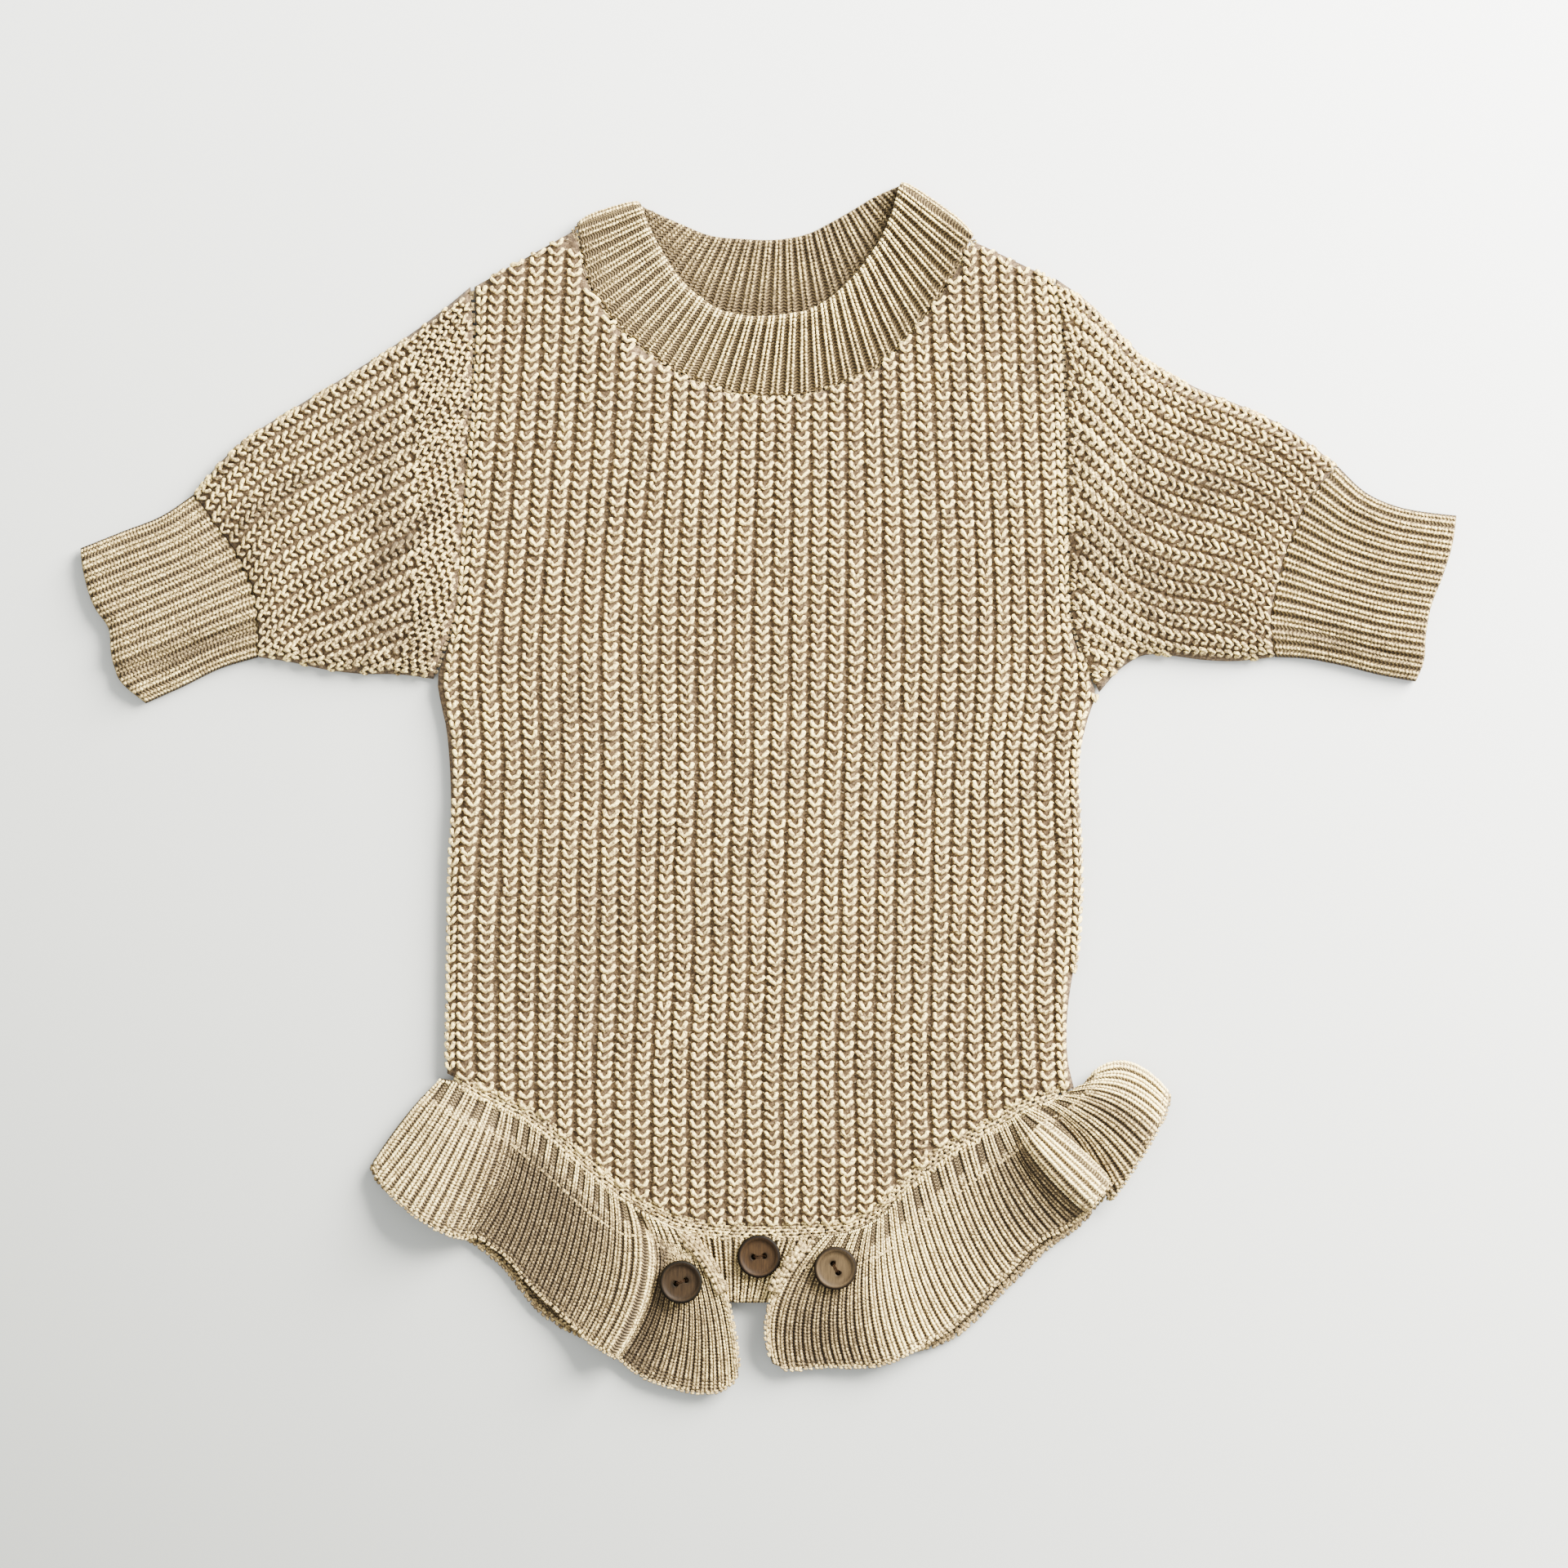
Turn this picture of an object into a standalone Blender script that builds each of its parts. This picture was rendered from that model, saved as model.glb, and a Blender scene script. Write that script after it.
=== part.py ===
"""Knitted baby romper, laid flat on its back.

Fourteen sewn-on pieces: front, back, two sleeves, two cuffs, neckband, two leg ruffles, two crotch
bands and three wooden buttons. Lengths are millimetres until `add_mesh` turns them into metres.
+X is the wearer's left, +Y runs from the crotch to the neck and +Z points up off the surface.
"left" in a name is the side at -X.
"""

import math

import bmesh
import bpy
import numpy as np

# Layers of cloth, counted up from the surface the romper lies on.
BACK_WALL = 2.6
LAYER_GAP = 0.3
FRONT_FLOOR = BACK_WALL + LAYER_GAP
SEAM_GAP = 0.6
ARMHOLE_GAP = 0.85
NECK_CORNER_GAPS = (1.8, 1.0)
NECK_CORNER_SHARE = 0.25
BUTTON_GAP = 0.3
HOLLOW_GAP = 0.15

# Wide ribs of the body and sleeves.
BODY_RIBS = 33
SLEEVE_RIBS = 21
SHOULDER_PITCH = 7.0
WRIST_PITCH = 4.9
WIDE_WALL = 2.3
WIDE_RISE = 1.6
SIDE_ROUND = 8.0
SHOULDER_ROUND = 7.0
UNDERARM_Y = 36.0
UNDERARM_LEFT_Y = 39.0
UNDERARM_RIGHT_Y = 34.0

# How much thinner the front panel is along each kind of edge, and over what distance.
SIDE_THINNING = 0.6
ARMHOLE_THINNING = (0.25, 4.0)
SHOULDER_THINNING = 0.5
HEM_THINNING = (0.25, 5.0)
NECK_THINNING = (0.2, 5.0)
BACK_INSET = 0.8
BACK_EDGE_LIFT = 0.9

# Rows of points up the body, as shares of its height: closer together round the underarm.
FRONT_LEVELS = (0, 0.02, 0.14, 0.27, 0.38, 0.45, 0.5, 0.54, 0.575, 0.63, 0.76, 0.9, 1)
BACK_LEVELS = (0, 0.26, 0.44, 0.5, 0.54, 0.6, 0.76, 0.9, 1)
BACK_EDGE_SHARE = 0.014

# Sleeves and cuffs pressed flat: height of the folded edge, width of its foot on the surface, width
# of the fold's own cloth, and the stretch beside the lower fold that takes the ribs left over.
FOLD_HEIGHT = 2.2
FOLD_FOOT = 2.2
FOLD_MARGIN = 2.8
RUNOUT_WIDTH = 10.0
SLEEVE_STATIONS = (0, 0.06, 0.2, 0.4, 0.6, 0.8, 1)
SLEEVE_FADE = 9.0
SLEEVE_PUFF = 1.6
CUFF_STATIONS = (0.01, 0.12, 0.5, 1)
CUFF_FADE = 4.0
CUFF_PUFF = 0.8
CUFF_RISE = 1.2
# Creases: share across at the body end and at the wrist end, depth, width.
NO_CREASE = (0.5, 0.5, 0.0, 1.0)
CUFF_LEFT_CREASE = (0.92, 0.77, 1.0, 2.6)
CUFF_RIGHT_CREASE = (0.8, 0.9, 0.4, 3.0)

# Narrow ribs of the cuffs, neckband, crotch bands and ruffles.
CUFF_RIBS = 14
NECK_FRONT_RIBS = 36
NECK_BACK_RIBS = 28
CROTCH_RIBS = 18
RUFFLE_RIBS = 44
FINE_WALL = 2.0
FINE_RISE = 0.9
STRIP_ACROSS = (0, 0.18, 0.45, 0.75, 1)
STRIP_RIB_SHARES = (0.3, 1, 1, 1, 0.8)
BAND_INSET = 0.6

# Where a rib's points stand: share of its pitch, share of its height.
WIDE_RIB = ((0.0, 0.0), (0.28, 1.0), (0.72, 1.0))
FINE_RIB = ((0.0, 0.0), (0.5, 1.0))

# Side edges of the body from the crotch up: y, x. The armhole starts at the underarm.
LEFT_SIDE = (
    (-200.0, -118.5), (-106.0, -118.5), (-71.5, -118.0), (-41.5, -117.5), (-11.5, -117.0),
    (6.5, -117.5), (22.0, -119.0), (31.0, -121.0), (39.0, -122.0), (48.5, -119.0),
    (60.0, -115.0), (88.5, -112.0), (135.0, -109.0), (163.5, -107.5), (183.0, -108.5),
    (230.0, -108.5),
)
RIGHT_SIDE = (
    (-200.0, 113.0), (-112.0, 113.0), (-101.5, 110.5), (-89.5, 110.0), (-56.5, 114.0),
    (-29.5, 115.5), (-11.5, 115.0), (6.5, 114.5), (15.5, 115.5), (25.0, 118.0),
    (34.0, 120.5), (43.5, 116.5), (54.0, 112.5), (88.5, 109.5), (146.0, 108.5),
    (169.5, 107.0), (186.0, 104.5), (230.0, 104.5),
)
# The ribs' own run up the body, which skips the widening at the underarm: y, x.
LEFT_RUN = ((-200.0, -118.5), (-60.0, -118.0), (60.0, -115.5), (135.0, -109.0), (230.0, -108.5))
RIGHT_RUN = ((-200.0, 113.0), (-60.0, 113.5), (60.0, 112.5), (146.0, 108.5), (230.0, 104.5))
RUN_HOLD = 16
# Bottom edge of the body: left leg, crotch, right leg: x, y.
HEM = (
    (-118.5, -106.0), (-111.5, -109.5), (-102.0, -115.0), (-92.0, -119.5), (-81.5, -126.5),
    (-71.0, -136.0), (-61.0, -144.5), (-50.5, -152.5), (-43.0, -156.5), (-32.0, -161.5),
    (-15.0, -164.0), (0.0, -164.5), (15.0, -164.0), (26.5, -163.0), (33.0, -161.0),
    (41.5, -156.0), (50.0, -147.5), (64.0, -136.0), (72.0, -131.0), (84.5, -124.0),
    (92.5, -119.0), (113.0, -112.0),
)
SHOULDER_LEFT = ((-108.5, 183.0),)
SHOULDER_RIGHT = ((104.5, 186.0),)
# Seam between neckband and body, at the front and at the back: x, y.
NECK_FRONT = (
    (-70.0, 204.5), (-65.0, 183.0), (-54.5, 168.0), (-44.0, 159.0), (-33.5, 152.0),
    (-15.5, 145.0), (4.0, 142.5), (27.0, 148.0), (39.0, 153.5), (48.5, 162.0),
    (56.5, 171.5), (63.5, 181.5), (69.5, 191.5), (74.5, 200.5),
)
NECK_BACK = (
    (-70.0, 204.5), (-62.0, 189.5), (-42.0, 177.0), (-18.5, 170.5), (5.5, 169.5),
    (29.5, 173.5), (50.5, 183.0), (65.5, 192.5), (74.5, 200.5),
)
# Free edge of the neckband, at the front and at the back: x, y.
COLLAR_FRONT = (
    (-46.5, 212.5), (-43.5, 204.5), (-38.5, 195.0), (-32.5, 186.0), (-24.5, 178.5),
    (-17.0, 174.0), (-6.0, 172.0), (5.5, 172.5), (16.5, 175.0), (26.0, 181.5),
    (33.5, 189.5), (40.5, 199.5), (44.5, 208.0), (48.0, 220.0),
)
COLLAR_BACK = (
    (-46.5, 212.5), (-32.0, 206.0), (-22.0, 202.0), (-8.5, 200.5), (5.0, 200.5),
    (14.5, 202.5), (24.5, 207.5), (31.5, 211.5), (38.0, 215.5), (48.0, 220.0),
)
COLLAR_CORNER_ROUND = 3.0
COLLAR_CORNER_REACH = 0.9
COLLAR_CORNER_LIFT = 1.2
COLLAR_CORNER_SHARE = 0.12
COLLAR_CORNER_TURN = (60, 30, 0, -30, -60)
COLLAR_ACROSS = (0, 0.08, 0.5, 0.92, 1)
COLLAR_EDGE_SHARES = (0.9, 1, 1, 1, 0.65)
COLLAR_RISE = 1.2
BACK_GROOVE = 1.5

# Edges of the sleeves and cuffs, from body to wrist: x, y.
SLEEVE_LEFT_TOP = (
    (-109.0, 183.0), (-119.5, 174.5), (-135.0, 163.0), (-154.5, 150.5), (-174.0, 138.5),
    (-192.5, 126.5), (-203.5, 116.0), (-210.5, 107.0),
)
SLEEVE_LEFT_BOTTOM = (
    (-122.5, 39.0), (-134.0, 40.5), (-151.5, 41.0), (-163.0, 42.5), (-174.5, 45.0), (-187.0, 47.0),
)
WRIST_LEFT = (
    (-210.5, 107.0), (-203.5, 97.0), (-193.0, 82.0), (-188.5, 71.0), (-187.0, 62.0), (-187.0, 47.0),
)
CUFF_LEFT_TOP = ((-210.5, 107.0), (-222.5, 99.0), (-237.5, 93.0), (-252.5, 87.0))
CUFF_LEFT_BOTTOM = ((-187.0, 47.0), (-200.5, 43.0), (-215.0, 36.0), (-228.5, 30.0))
CUFF_LEFT_END = (
    (-252.5, 87.0), (-251.0, 77.0), (-247.0, 65.0), (-242.0, 57.5), (-241.0, 48.5),
    (-238.5, 39.5), (-228.5, 30.0),
)
SLEEVE_RIGHT_TOP = (
    (105.0, 186.0), (116.0, 178.5), (128.0, 167.0), (138.0, 157.0), (147.5, 151.0),
    (159.0, 145.0), (170.5, 140.5), (182.0, 135.5), (193.5, 129.0), (208.5, 117.5),
)
SLEEVE_RIGHT_BOTTOM = (
    (121.0, 34.0), (129.0, 42.5), (137.0, 47.5), (147.5, 47.5), (159.0, 46.0), (170.5, 45.5),
    (185.5, 47.0),
)
WRIST_RIGHT = (
    (208.5, 117.5), (198.0, 105.0), (191.5, 91.0), (186.0, 72.0), (184.0, 62.0), (185.5, 47.0),
)
CUFF_RIGHT_TOP = ((208.5, 117.5), (220.0, 107.0), (232.0, 102.0), (243.5, 100.0), (252.5, 99.0))
CUFF_RIGHT_BOTTOM = ((185.5, 47.0), (196.0, 46.5), (210.0, 44.0), (224.0, 40.5), (237.5, 38.0))
CUFF_RIGHT_END = (
    (252.5, 99.0), (250.5, 87.0), (247.0, 76.0), (243.0, 65.5), (241.0, 54.0), (240.5, 46.0),
    (237.5, 38.0),
)

# Leg ruffles. Each row is one section across the strip, from the leg seam to the free edge:
# seam x, distance out from the seam, seam height, then x, y, height part of the way across and
# x, y, height at the free edge. Heights are those of the middle of the cloth.
RUFFLE_COLUMNS = (
    "seam_x", "seam_out", "seam_z", "mid_x", "mid_y", "mid_z", "edge_x", "edge_y", "edge_z",
)
RUFFLE_LEFT_BACK = (
    (-41.0, 0.8, 1.2, -36.0, -183.0, 1.2, -30.0, -214.0, 1.2),
    (-51.0, 0.8, 1.2, -53.0, -180.0, 1.2, -58.0, -206.0, 1.2),
    (-66.0, 0.8, 1.2, -75.0, -166.0, 1.2, -82.0, -193.5, 1.2),
    (-82.0, 0.8, 1.2, -93.0, -151.0, 1.2, -98.0, -175.0, 1.2),
    (-100.0, 0.8, 1.2, -112.0, -138.0, 1.2, -119.0, -160.0, 1.2),
    (-114.0, 0.8, 1.2, -128.0, -127.0, 1.2, -140.5, -147.0, 1.2),
)
RUFFLE_LEFT_FRONT = (
    (-118.5, 1.6, 2.9, -128.5, -121.0, 3.2, -144.0, -140.0, 3.8),
    (-114.5, 0.6, 4.6, -125.0, -126.0, 6.6, -140.5, -147.0, 6.8),
    (-107.0, 0.5, 4.6, -117.0, -132.0, 9.4, -130.5, -156.0, 11.4),
    (-99.5, 0.5, 4.6, -107.0, -136.5, 9.6, -119.5, -163.0, 11.0),
    (-94.0, 0.5, 4.6, -99.5, -139.5, 7.0, -112.0, -165.5, 5.6),
    (-90.0, 0.5, 4.6, -95.0, -142.5, 4.4, -106.5, -165.5, 3.8),
    (-82.0, 0.5, 4.6, -87.0, -149.5, 4.2, -96.0, -173.0, 3.8),
    (-72.5, 0.5, 4.6, -77.5, -158.5, 4.4, -86.5, -184.0, 4.2),
    (-63.5, 0.5, 4.6, -66.5, -168.0, 5.6, -75.5, -194.0, 5.4),
    (-56.0, 0.5, 4.8, -55.5, -175.5, 7.6, -66.0, -203.0, 7.4),
    (-49.5, 0.5, 5.4, -45.5, -176.0, 10.4, -58.0, -208.0, 11.2),
    (-46.5, 0.5, 6.6, -42.8, -177.0, 8.6, -56.0, -208.5, 6.0),
    (-43.5, 0.6, 7.6, -40.0, -179.0, 7.8, -54.0, -211.0, 3.2),
    (-40.5, 0.7, 7.6, -35.0, -181.5, 7.7, -44.5, -217.5, 3.2),
    (-36.0, 0.8, 7.5, -28.5, -184.0, 7.6, -30.0, -222.0, 3.4),
    (-32.0, 0.8, 7.5, -22.5, -184.0, 7.6, -18.5, -222.2, 4.0),
    (-28.5, 0.8, 7.5, -17.5, -182.0, 7.6, -11.0, -217.0, 4.6),
)
RUFFLE_RIGHT_BACK = (
    (40.0, 0.8, 1.2, 34.0, -183.0, 1.2, 24.0, -207.5, 1.2),
    (47.0, 0.8, 1.2, 46.0, -182.0, 1.2, 45.0, -207.5, 1.2),
    (57.0, 0.8, 1.2, 62.0, -174.0, 1.2, 67.0, -202.0, 1.2),
    (69.0, 0.8, 1.2, 79.0, -158.0, 1.2, 88.0, -182.5, 1.2),
    (82.0, 0.8, 1.2, 92.0, -146.0, 1.2, 102.5, -168.5, 1.2),
    (92.5, 0.8, 1.2, 104.0, -137.0, 1.2, 116.0, -158.0, 1.2),
    (108.0, 0.8, 1.2, 124.0, -118.0, 1.2, 141.5, -124.0, 1.2),
)
RUFFLE_RIGHT_FRONT = (
    (113.0, 3.3, 2.9, 127.0, -102.5, 3.4, 146.0, -113.5, 3.8),
    (110.5, 1.0, 4.6, 126.0, -108.5, 6.8, 145.0, -120.0, 7.4),
    (106.5, 0.5, 4.6, 121.5, -116.5, 9.0, 139.5, -130.5, 11.2),
    (102.0, 0.5, 4.6, 116.5, -122.5, 8.4, 133.5, -140.0, 10.2),
    (98.0, 0.5, 4.6, 112.0, -126.5, 6.2, 127.5, -149.0, 6.2),
    (95.0, 0.5, 4.6, 108.5, -128.0, 6.4, 123.0, -147.5, 4.6),
    (92.5, 0.5, 4.8, 105.0, -129.5, 10.2, 121.5, -148.5, 9.8),
    (90.0, 0.5, 4.8, 101.5, -133.5, 11.2, 118.0, -152.5, 11.2),
    (87.5, 0.5, 4.6, 97.5, -137.5, 7.4, 113.5, -156.5, 6.8),
    (84.5, 0.5, 4.6, 93.5, -142.0, 4.6, 108.0, -161.5, 4.0),
    (77.0, 0.5, 4.6, 84.0, -149.5, 4.4, 96.5, -169.0, 3.8),
    (68.0, 0.5, 4.6, 76.0, -157.0, 4.4, 88.5, -178.0, 3.8),
    (57.5, 0.5, 4.6, 65.5, -166.0, 4.6, 77.5, -188.5, 4.0),
    (49.0, 0.5, 4.8, 55.0, -175.0, 5.4, 66.5, -199.0, 4.6),
    (43.0, 0.6, 6.2, 46.5, -180.5, 6.8, 55.0, -206.0, 5.6),
    (38.5, 0.7, 7.4, 38.0, -184.5, 7.6, 44.0, -211.5, 5.8),
    (34.0, 0.8, 7.5, 29.0, -187.0, 7.6, 33.0, -213.0, 4.4),
    (28.5, 0.8, 7.5, 18.5, -187.5, 7.6, 19.5, -213.0, 3.6),
    (23.0, 0.8, 7.5, 9.5, -186.5, 7.6, 8.0, -214.0, 4.2),
    (18.5, 0.8, 7.5, 2.5, -185.0, 7.6, 1.5, -212.0, 5.0),
)
RUFFLE_MIDDLE = 0.45

# Crotch band: half the button placket, under the ruffle ends.
BAND_TOP_X = (-37.5, 36.0)
BAND_BOTTOM_X = (-27.0, 15.0)
BAND_BOTTOM_Y = -188.5

# Two-hole buttons: centre x, y, turn of the line through the holes in degrees.
BUTTONS = {
    "button_left": (-32.0, -181.5, 20.0),
    "button_centre": (-3.5, -172.5, 5.0),
    "button_right": (24.5, -176.5, -60.0),
}
BUTTON_RADIUS = 7.9
BUTTON_THICK = 3.2
BUTTON_RIM = 1.3
BUTTON_DISH = 0.8
BUTTON_HOLE_RADIUS = 0.85
BUTTON_HOLE_APART = 3.8

KNIT_COLOUR = "BCAB91"
RUFFLE_COLOUR = "C2B393"
WOOD_COLOUR = "76593A"


def smooth(keys, values, at):
    """Reads a smooth curve through a table: cubic pieces, with each row's slope from its neighbours."""
    keys, values, at = np.asarray(keys, float), np.asarray(values, float), np.asarray(at, float)
    slopes = np.gradient(values, keys, axis=0)
    row = np.clip(np.searchsorted(keys, at) - 1, 0, len(keys) - 2)
    length = keys[row + 1] - keys[row]
    u = (at - keys[row]) / length
    if values.ndim > 1:
        length, u = length[..., None], u[..., None]
    start, finish = values[row], values[row + 1]
    return (
        (1 + 2 * u) * (1 - u) ** 2 * start
        + u * (1 - u) ** 2 * length * slopes[row]
        + u**2 * (3 - 2 * u) * finish
        - u**2 * (1 - u) * length * slopes[row + 1]
    )


def along(points, share):
    """Points at these shares of a curve's length; the curve runs smoothly through `points`."""
    points = np.asarray(points, float)
    steps = np.linalg.norm(np.diff(points, axis=0), axis=1)
    keys = np.concatenate([[0.0], np.cumsum(steps)])
    return smooth(keys / keys[-1], points, share)


def moved_out(points, distance, count=120):
    """The smooth curve through `points`, moved `distance` to the right of its direction."""
    curve = along(points, np.linspace(0, 1, count))
    direction = np.gradient(curve, axis=0)
    direction /= np.linalg.norm(direction, axis=1)[:, None]
    right = np.stack([direction[:, 1], -direction[:, 0]], axis=1)
    return curve + np.broadcast_to(distance, count)[:, None] * right


def ease(u):
    """0 below 0, 1 above 1, and a smooth step between."""
    u = np.clip(u, 0, 1)
    return u * u * (3 - 2 * u)


def rounded(distance, radius):
    """Height share of a quarter round: 0 at the edge, 1 from `radius` inwards."""
    return np.sqrt(1 - (1 - np.clip(distance / radius, 0, 1)) ** 2)


def thinning(distance, share_and_width):
    """Share of the thickness lost at this distance from an edge."""
    share, width = share_and_width
    return share * (1 - ease(distance / width))


def rib_columns(count, profile):
    """Shares across `count` ribs, each point's height share, and the index of each rib's start."""
    shares = [(k + share) / count for k in range(count) for share, _ in profile] + [1.0]
    heights = [height for _ in range(count) for _, height in profile] + [0.0]
    starts = np.arange(count + 1) * len(profile)
    return np.array(shares), np.array(heights), starts


def material(name, colour, roughness):
    """Principled BSDF with an sRGB hex colour."""
    srgb = np.array([int(colour[i : i + 2], 16) / 255 for i in (0, 2, 4)])
    linear = np.where(srgb <= 0.04045, srgb / 12.92, ((srgb + 0.055) / 1.055) ** 2.4)
    made = bpy.data.materials.new(name)
    made.use_nodes = True
    shader = made.node_tree.nodes["Principled BSDF"]
    shader.inputs["Base Color"].default_value = (*linear, 1.0)
    shader.inputs["Roughness"].default_value = roughness
    shader.inputs["Metallic"].default_value = 0.0
    return made


def add_mesh(name, points, faces, colour, roughness=0.9):
    """Adds one closed body, with points in millimetres and its faces turned outwards."""
    mesh = bpy.data.meshes.new(name)
    mesh.from_pydata((np.asarray(points) * 0.001).tolist(), [], faces)
    body = bmesh.new()
    body.from_mesh(mesh)
    bmesh.ops.recalc_face_normals(body, faces=body.faces)
    body.to_mesh(mesh)
    body.free()
    mesh.shade_smooth()
    mesh.set_sharp_from_angle(angle=math.radians(50))
    mesh.materials.append(material(name + "_surface", colour, roughness))
    piece = bpy.data.objects.new(name, mesh)
    bpy.context.collection.objects.link(piece)
    return piece


def wall(name, outer, inner, links, ring, colour):
    """Cloth between two grids of points, columns by rows.

    `links` pairs a column of `outer` with one of `inner`; between two pairs the rim is one face. A
    ring closes on itself and is open at its first and last row, and a strip has a rim all round.
    """
    columns, rows = outer.shape[:2]
    inner_columns = inner.shape[0]
    outer_at = np.arange(columns * rows).reshape(columns, rows)
    inner_at = np.arange(inner_columns * rows).reshape(inner_columns, rows) + columns * rows
    faces = []
    for at, turned in ((outer_at, False), (inner_at, True)):
        last = len(at) if ring else len(at) - 1
        for i in range(last):
            j = (i + 1) % len(at)
            for row in range(rows - 1):
                quad = [at[i, row], at[j, row], at[j, row + 1], at[i, row + 1]]
                faces.append(quad[::-1] if turned else quad)
    pairs = list(links) + ([(columns, inner_columns)] if ring else [])
    for (outer_a, inner_a), (outer_b, inner_b) in zip(pairs, pairs[1:]):
        for row in (0, rows - 1):
            rim = [outer_at[k % columns, row] for k in range(outer_a, outer_b + 1)]
            rim += [inner_at[k % inner_columns, row] for k in range(inner_b, inner_a - 1, -1)]
            faces.append(rim if row else rim[::-1])
    if not ring:
        for end in (0, -1):
            for row in range(rows - 1):
                side = [
                    outer_at[end, row], outer_at[end, row + 1],
                    inner_at[end, row + 1], inner_at[end, row],
                ]
                faces.append(side if end == 0 else side[::-1])
    points = np.concatenate([outer.reshape(-1, 3), inner.reshape(-1, 3)])
    faces = [[int(k) for k in face] for face in faces]
    return add_mesh(name, points, faces, colour)


def side_x(side, y):
    """x of the body's left or right edge at y."""
    table = np.array(side)
    return smooth(table[:, 0], table[:, 1], y)


def hem_point(x, out):
    """Point of the body's bottom edge at x, moved `out` away from the body."""
    edge = moved_out(HEM, 0.0, 240)
    direction = np.gradient(edge, axis=0)
    direction /= np.linalg.norm(direction, axis=1)[:, None]
    outwards = np.stack([direction[:, 1], -direction[:, 0]], axis=1)
    at = np.stack([np.interp(x, edge[:, 0], edge[:, k]) for k in (0, 1)], axis=-1)
    away = np.stack([np.interp(x, edge[:, 0], outwards[:, k]) for k in (0, 1)], axis=-1)
    return at + np.asarray(out)[..., None] * away


def body_x(shares, y, inset):
    """x across the body at y: straight ribs in the middle, and the true edge at either side."""
    left, right = side_x(LEFT_SIDE, y) + inset, side_x(RIGHT_SIDE, y) - inset
    left_run, right_run = side_x(LEFT_RUN, y), side_x(RIGHT_RUN, y)
    run = left_run + (right_run - left_run) * shares
    run = run + (left - left_run) * (1 - shares) ** RUN_HOLD
    return run + (right - right_run) * shares**RUN_HOLD


def panel_plan(shares, levels, neckline, inset):
    """x, y of a body panel: ribs run from hem to shoulder at fixed shares of the width.

    Also gives each point's distance from the side edges, the hem and the top edge.
    """
    run = np.linspace(0, 1, 120)
    left_corner, right_corner = (gap - SEAM_GAP for gap in NECK_CORNER_GAPS)
    gap = SEAM_GAP + left_corner * (1 - ease(run / NECK_CORNER_SHARE))
    gap += right_corner * (1 - ease((1 - run) / NECK_CORNER_SHARE))
    top = np.concatenate([SHOULDER_LEFT, moved_out(neckline, gap), SHOULDER_RIGHT])
    low = hem_point(body_x(shares, np.full(len(shares), -150.0), inset), -inset)[:, 1]
    high = np.full(len(shares), 190.0)
    for _ in range(12):
        high = np.interp(body_x(shares, high, inset), top[:, 0], top[:, 1]) - inset
    y = low[:, None] + (high - low)[:, None] * levels[None, :]
    x = body_x(shares[:, None], y, inset)
    from_side = np.minimum(x - side_x(LEFT_SIDE, y), side_x(RIGHT_SIDE, y) - x) - inset
    return x, y, from_side, y - low[:, None], high[:, None] - y


def front_body():
    """Front panel: ribs over a plain inside, rounded off at the sides and shoulders."""
    shares, rib, starts = rib_columns(BODY_RIBS, WIDE_RIB)
    levels = np.array(FRONT_LEVELS)
    x, y, from_side, from_hem, from_top = panel_plan(shares, levels, NECK_FRONT, 0.0)
    beside_neck = (x < NECK_FRONT[0][0]) | (x > NECK_FRONT[-1][0])
    below_arm = ease((UNDERARM_Y - y) / 10)
    thick = WIDE_WALL + WIDE_RISE * rib[:, None] * ease(from_side / 3)
    thick *= 1 - SIDE_THINNING * below_arm * (1 - rounded(from_side, SIDE_ROUND))
    thick *= 1 - (1 - below_arm) * thinning(from_side, ARMHOLE_THINNING)
    thick *= 1 - SHOULDER_THINNING * beside_neck * (1 - rounded(from_top, SHOULDER_ROUND))
    thick *= 1 - thinning(from_hem, HEM_THINNING)
    thick *= 1 - ~beside_neck * thinning(from_top, NECK_THINNING)
    outer = np.stack([x, y, FRONT_FLOOR + thick], axis=-1)
    inner = outer[starts].copy()
    inner[..., 2] = FRONT_FLOOR
    links = [(int(start), k) for k, start in enumerate(starts)]
    return wall("front_body", outer, inner, links, False, KNIT_COLOUR)


def back_body():
    """Back panel: plain and flat under the front, with a softened lower edge."""
    middle = np.arange(1, BODY_RIBS) / BODY_RIBS
    shares = np.concatenate([[0, BACK_EDGE_SHARE], middle, [1 - BACK_EDGE_SHARE, 1]])
    levels = np.array(BACK_LEVELS)
    x, y, _, _, _ = panel_plan(shares, levels, NECK_BACK, BACK_INSET)
    upper = np.stack([x, y, np.full_like(x, BACK_WALL)], axis=-1)
    under = upper.copy()
    under[..., 2] = 0.0
    under[[0, -1], :, 2] = BACK_EDGE_LIFT
    links = [(k, k) for k in range(len(shares))]
    return wall("back_body", upper, under, links, False, KNIT_COLOUR)


def patch(start, finish, upper, lower, u, p):
    """Points inside four edges: u runs from `start` to `finish`, p from `upper` to `lower`.

    The sheet between the two ends plus the sheet between the two sides, less the corners' sheet.
    """
    first, last = along(start, p), along(finish, p)
    above, below = along(upper, u), along(lower, u)
    u, p = u[..., None], p[..., None]
    start, finish = np.array(start), np.array(finish)
    corners = (1 - u) * ((1 - p) * start[0] + p * start[-1])
    corners = corners + u * ((1 - p) * finish[0] + p * finish[-1])
    return (1 - u) * first + u * last + (1 - p) * above + p * below - corners


def tube_width(edges, stations):
    """Distance across a flat tube from its upper to its lower edge, at each station."""
    lower = patch(*edges, stations, np.ones(len(stations)))
    upper = patch(*edges, stations, np.zeros(len(stations)))
    return np.linalg.norm(lower - upper, axis=1)


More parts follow.
